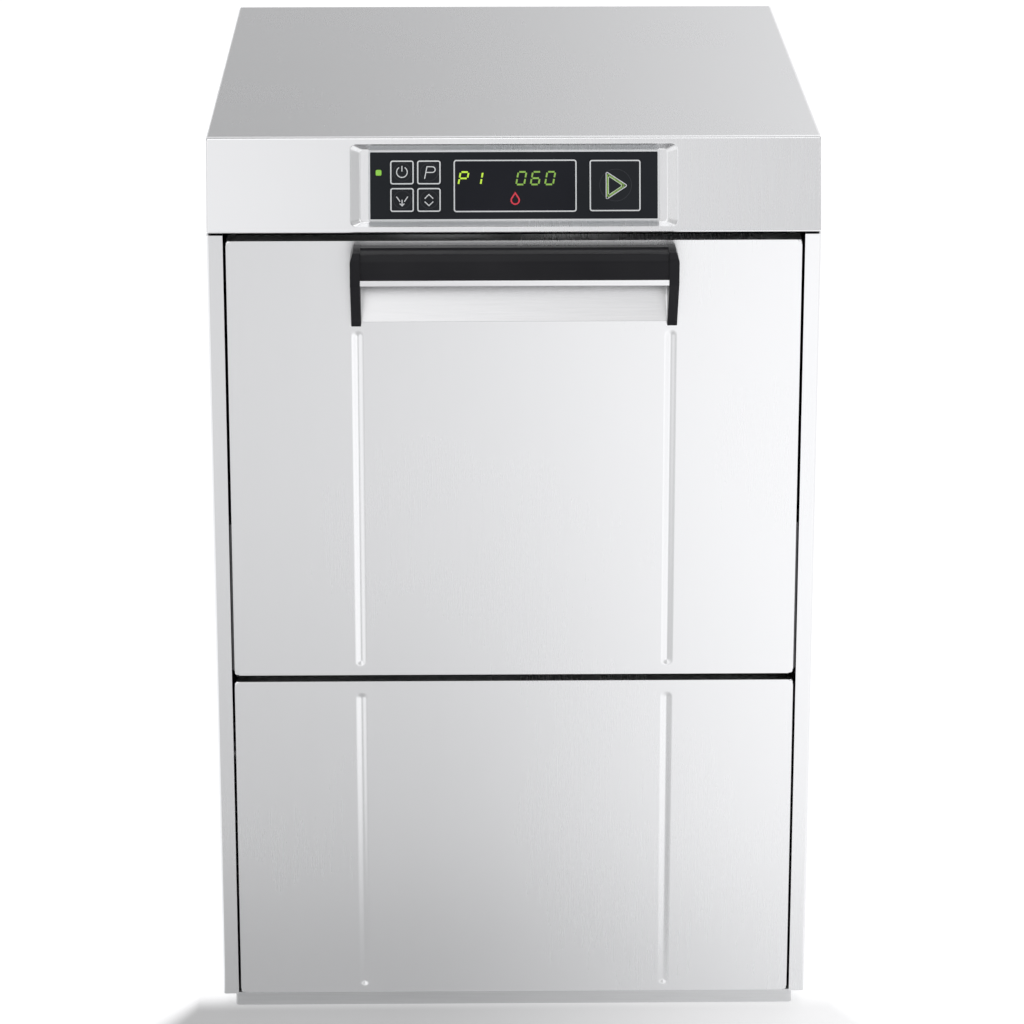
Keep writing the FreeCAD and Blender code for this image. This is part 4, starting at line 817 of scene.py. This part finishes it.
# ---- everything together ------------------------------------------------------------
def make_finishes():
    """One procedural finish per material slot of the record."""
    sheet_grain = (700, 22, 22)          # brush lines run up the front and back over the top
    return {
        "stainless": brushed_metal("stainless", (0.818, 0.821, 0.828), (0.830, 0.833, 0.840), sheet_grain,
                                   (0.258, 0.272), 0.002),
        "stainless_dull": brushed_metal("stainless_dull", (0.55, 0.56, 0.57), (0.66, 0.67, 0.68),
                                        (90, 90, 900), (0.34, 0.44), 0.12),
        "aluminium": brushed_metal("aluminium", (0.80, 0.80, 0.81), (0.88, 0.88, 0.89), (20, 900, 900),
                                   (0.20, 0.28), 0.08),
        # the scoop's steel is a brighter copy of the door's stainless, showing the light that falls into the
        # scoop: painted light
        "scoop_metal": brushed_metal("scoop_metal", (0.90, 0.90, 0.905), (0.94, 0.94, 0.945), (30, 700, 700),
                                     (0.20, 0.25), 0.02),
        "spring_steel": brushed_metal("spring_steel", (0.42, 0.43, 0.44), (0.58, 0.58, 0.60),
                                      (300, 300, 300), (0.25, 0.38), 0.1),
        "plinth_steel": brushed_metal("plinth_steel", (0.66, 0.665, 0.67), (0.70, 0.705, 0.71), (20, 20, 700),
                                      (0.30, 0.36), 0.01),
        # a dark steel for the hinges that stands in for the shade in the gaps beside the door: painted shade
        "hinge_gap_shade": brushed_metal("hinge_gap_shade", (0.10, 0.10, 0.105), (0.16, 0.16, 0.165), (200, 200, 200),
                                   (0.45, 0.55), 0.1),
        "handle_black": moulded("handle_black", (0.011, 0.011, 0.013), (0.016, 0.016, 0.018), (0.28, 0.34),
                                700, 0.06, 0.10),
        "panel_black": moulded("panel_black", (0.008, 0.010, 0.013), (0.012, 0.014, 0.018), (0.30, 0.36),
                               1200, 0.04, 0.16),
        "key_black": moulded("key_black", (0.009, 0.011, 0.014), (0.013, 0.015, 0.019), (0.32, 0.38),
                             1200, 0.04, 0.17),
        "display_glass": moulded("display_glass", (0.007, 0.008, 0.012), (0.011, 0.012, 0.017), (0.20, 0.26),
                                 300, 0.01, 0.14),
        "green_light": glowing("green_light", (0.20, 0.46, 0.045), 0.45),
        "board_green": moulded("board_green", (0.01, 0.09, 0.03), (0.02, 0.14, 0.05), (0.35, 0.5), 500),
        "black_plastic": moulded("black_plastic", (0.018, 0.018, 0.019), (0.03, 0.03, 0.032), (0.42, 0.55),
                                 650, 0.2),
        "white_plastic": moulded("white_plastic", (0.62, 0.62, 0.61), (0.70, 0.70, 0.69), (0.38, 0.48), 800),
        "arm_plastic": moulded("arm_plastic", (0.10, 0.115, 0.13), (0.14, 0.155, 0.17), (0.35, 0.45), 800),
        "rack_plastic": moulded("rack_plastic", (0.03, 0.10, 0.25), (0.045, 0.13, 0.30), (0.36, 0.46), 700),
        "foot_plastic": moulded("foot_plastic", (0.020, 0.020, 0.021), (0.032, 0.032, 0.034), (0.45, 0.6),
                                500, 0.25),
        "rubber": moulded("rubber", (0.022, 0.022, 0.022), (0.035, 0.035, 0.035), (0.55, 0.7), 420, 0.3),
        "motor_paint": moulded("motor_paint", (0.045, 0.05, 0.055), (0.07, 0.075, 0.08), (0.4, 0.5),
                               260, 0.3),
    }


def dress(finishes):
    """Gives every CAD node that stays in view the finish of its slot."""
    for part in frame["record"]["subparts"]:
        piece = frame["nodes"][part["node"]]
        piece.data.materials.clear()
        piece.data.materials.append(finishes[part["material_slot"]])
    # the hinge arms and brackets show in the door's side gaps; their dark steel is painted shade standing in
    # for the shadow there
    for node, finish in (("hinge_arms", "hinge_gap_shade"), ("hinge_brackets", "hinge_gap_shade"),
                         ("base_tray", "plinth_steel")):
        frame["nodes"][node].data.materials[0] = finishes[finish]


make_camera()
make_studio()
finishes = make_finishes()
dress(finishes)

pressed_panel("door_skin", DOOR_LOW, DOOR_HIGH, *DOOR_BEADS, finishes["stainless"],
              "door", "stainless", "door_outer_skin", DOOR_HIGH.y, HANDLE_HOLE)
LOWER_LOW.z += JOINT_LINE
pressed_panel("lower_panel", LOWER_LOW, LOWER_HIGH, *LOWER_BEADS, finishes["stainless"],
              "cabinet", "stainless", "lower_front_panel", LOWER_HIGH.y)
make_fascia(finishes["stainless"])
make_handle(finishes["handle_black"], finishes["aluminium"], finishes["scoop_metal"])
# white for the prints, used also on the control panel's edges as a painted highlight for the lit dish wall
white_print_and_edge_highlight = moulded("white_print_and_edge_highlight", (0.60, 0.62, 0.63), (0.70, 0.71, 0.72), (0.35, 0.45), 900, 0.05)
# a black a little lighter than the keys, for the painted highlight rings on the key domes
painted_dome_highlight = moulded("painted_dome_highlight", (0.016, 0.018, 0.023), (0.022, 0.024, 0.030), (0.30, 0.38), 900, 0.05,
                     0.3)
make_prints(white_print_and_edge_highlight, glowing("pale_green_line", (0.50, 0.62, 0.40), 0.25),
            glowing("lit_green_line", (0.19, 0.35, 0.05), 0.48),
            glowing("bright_green_line", (0.42, 0.64, 0.035), 0.62),
            glowing("red_line", (0.50, 0.02, 0.04), 0.45), painted_dome_highlight)
make_status_light(finishes["green_light"])
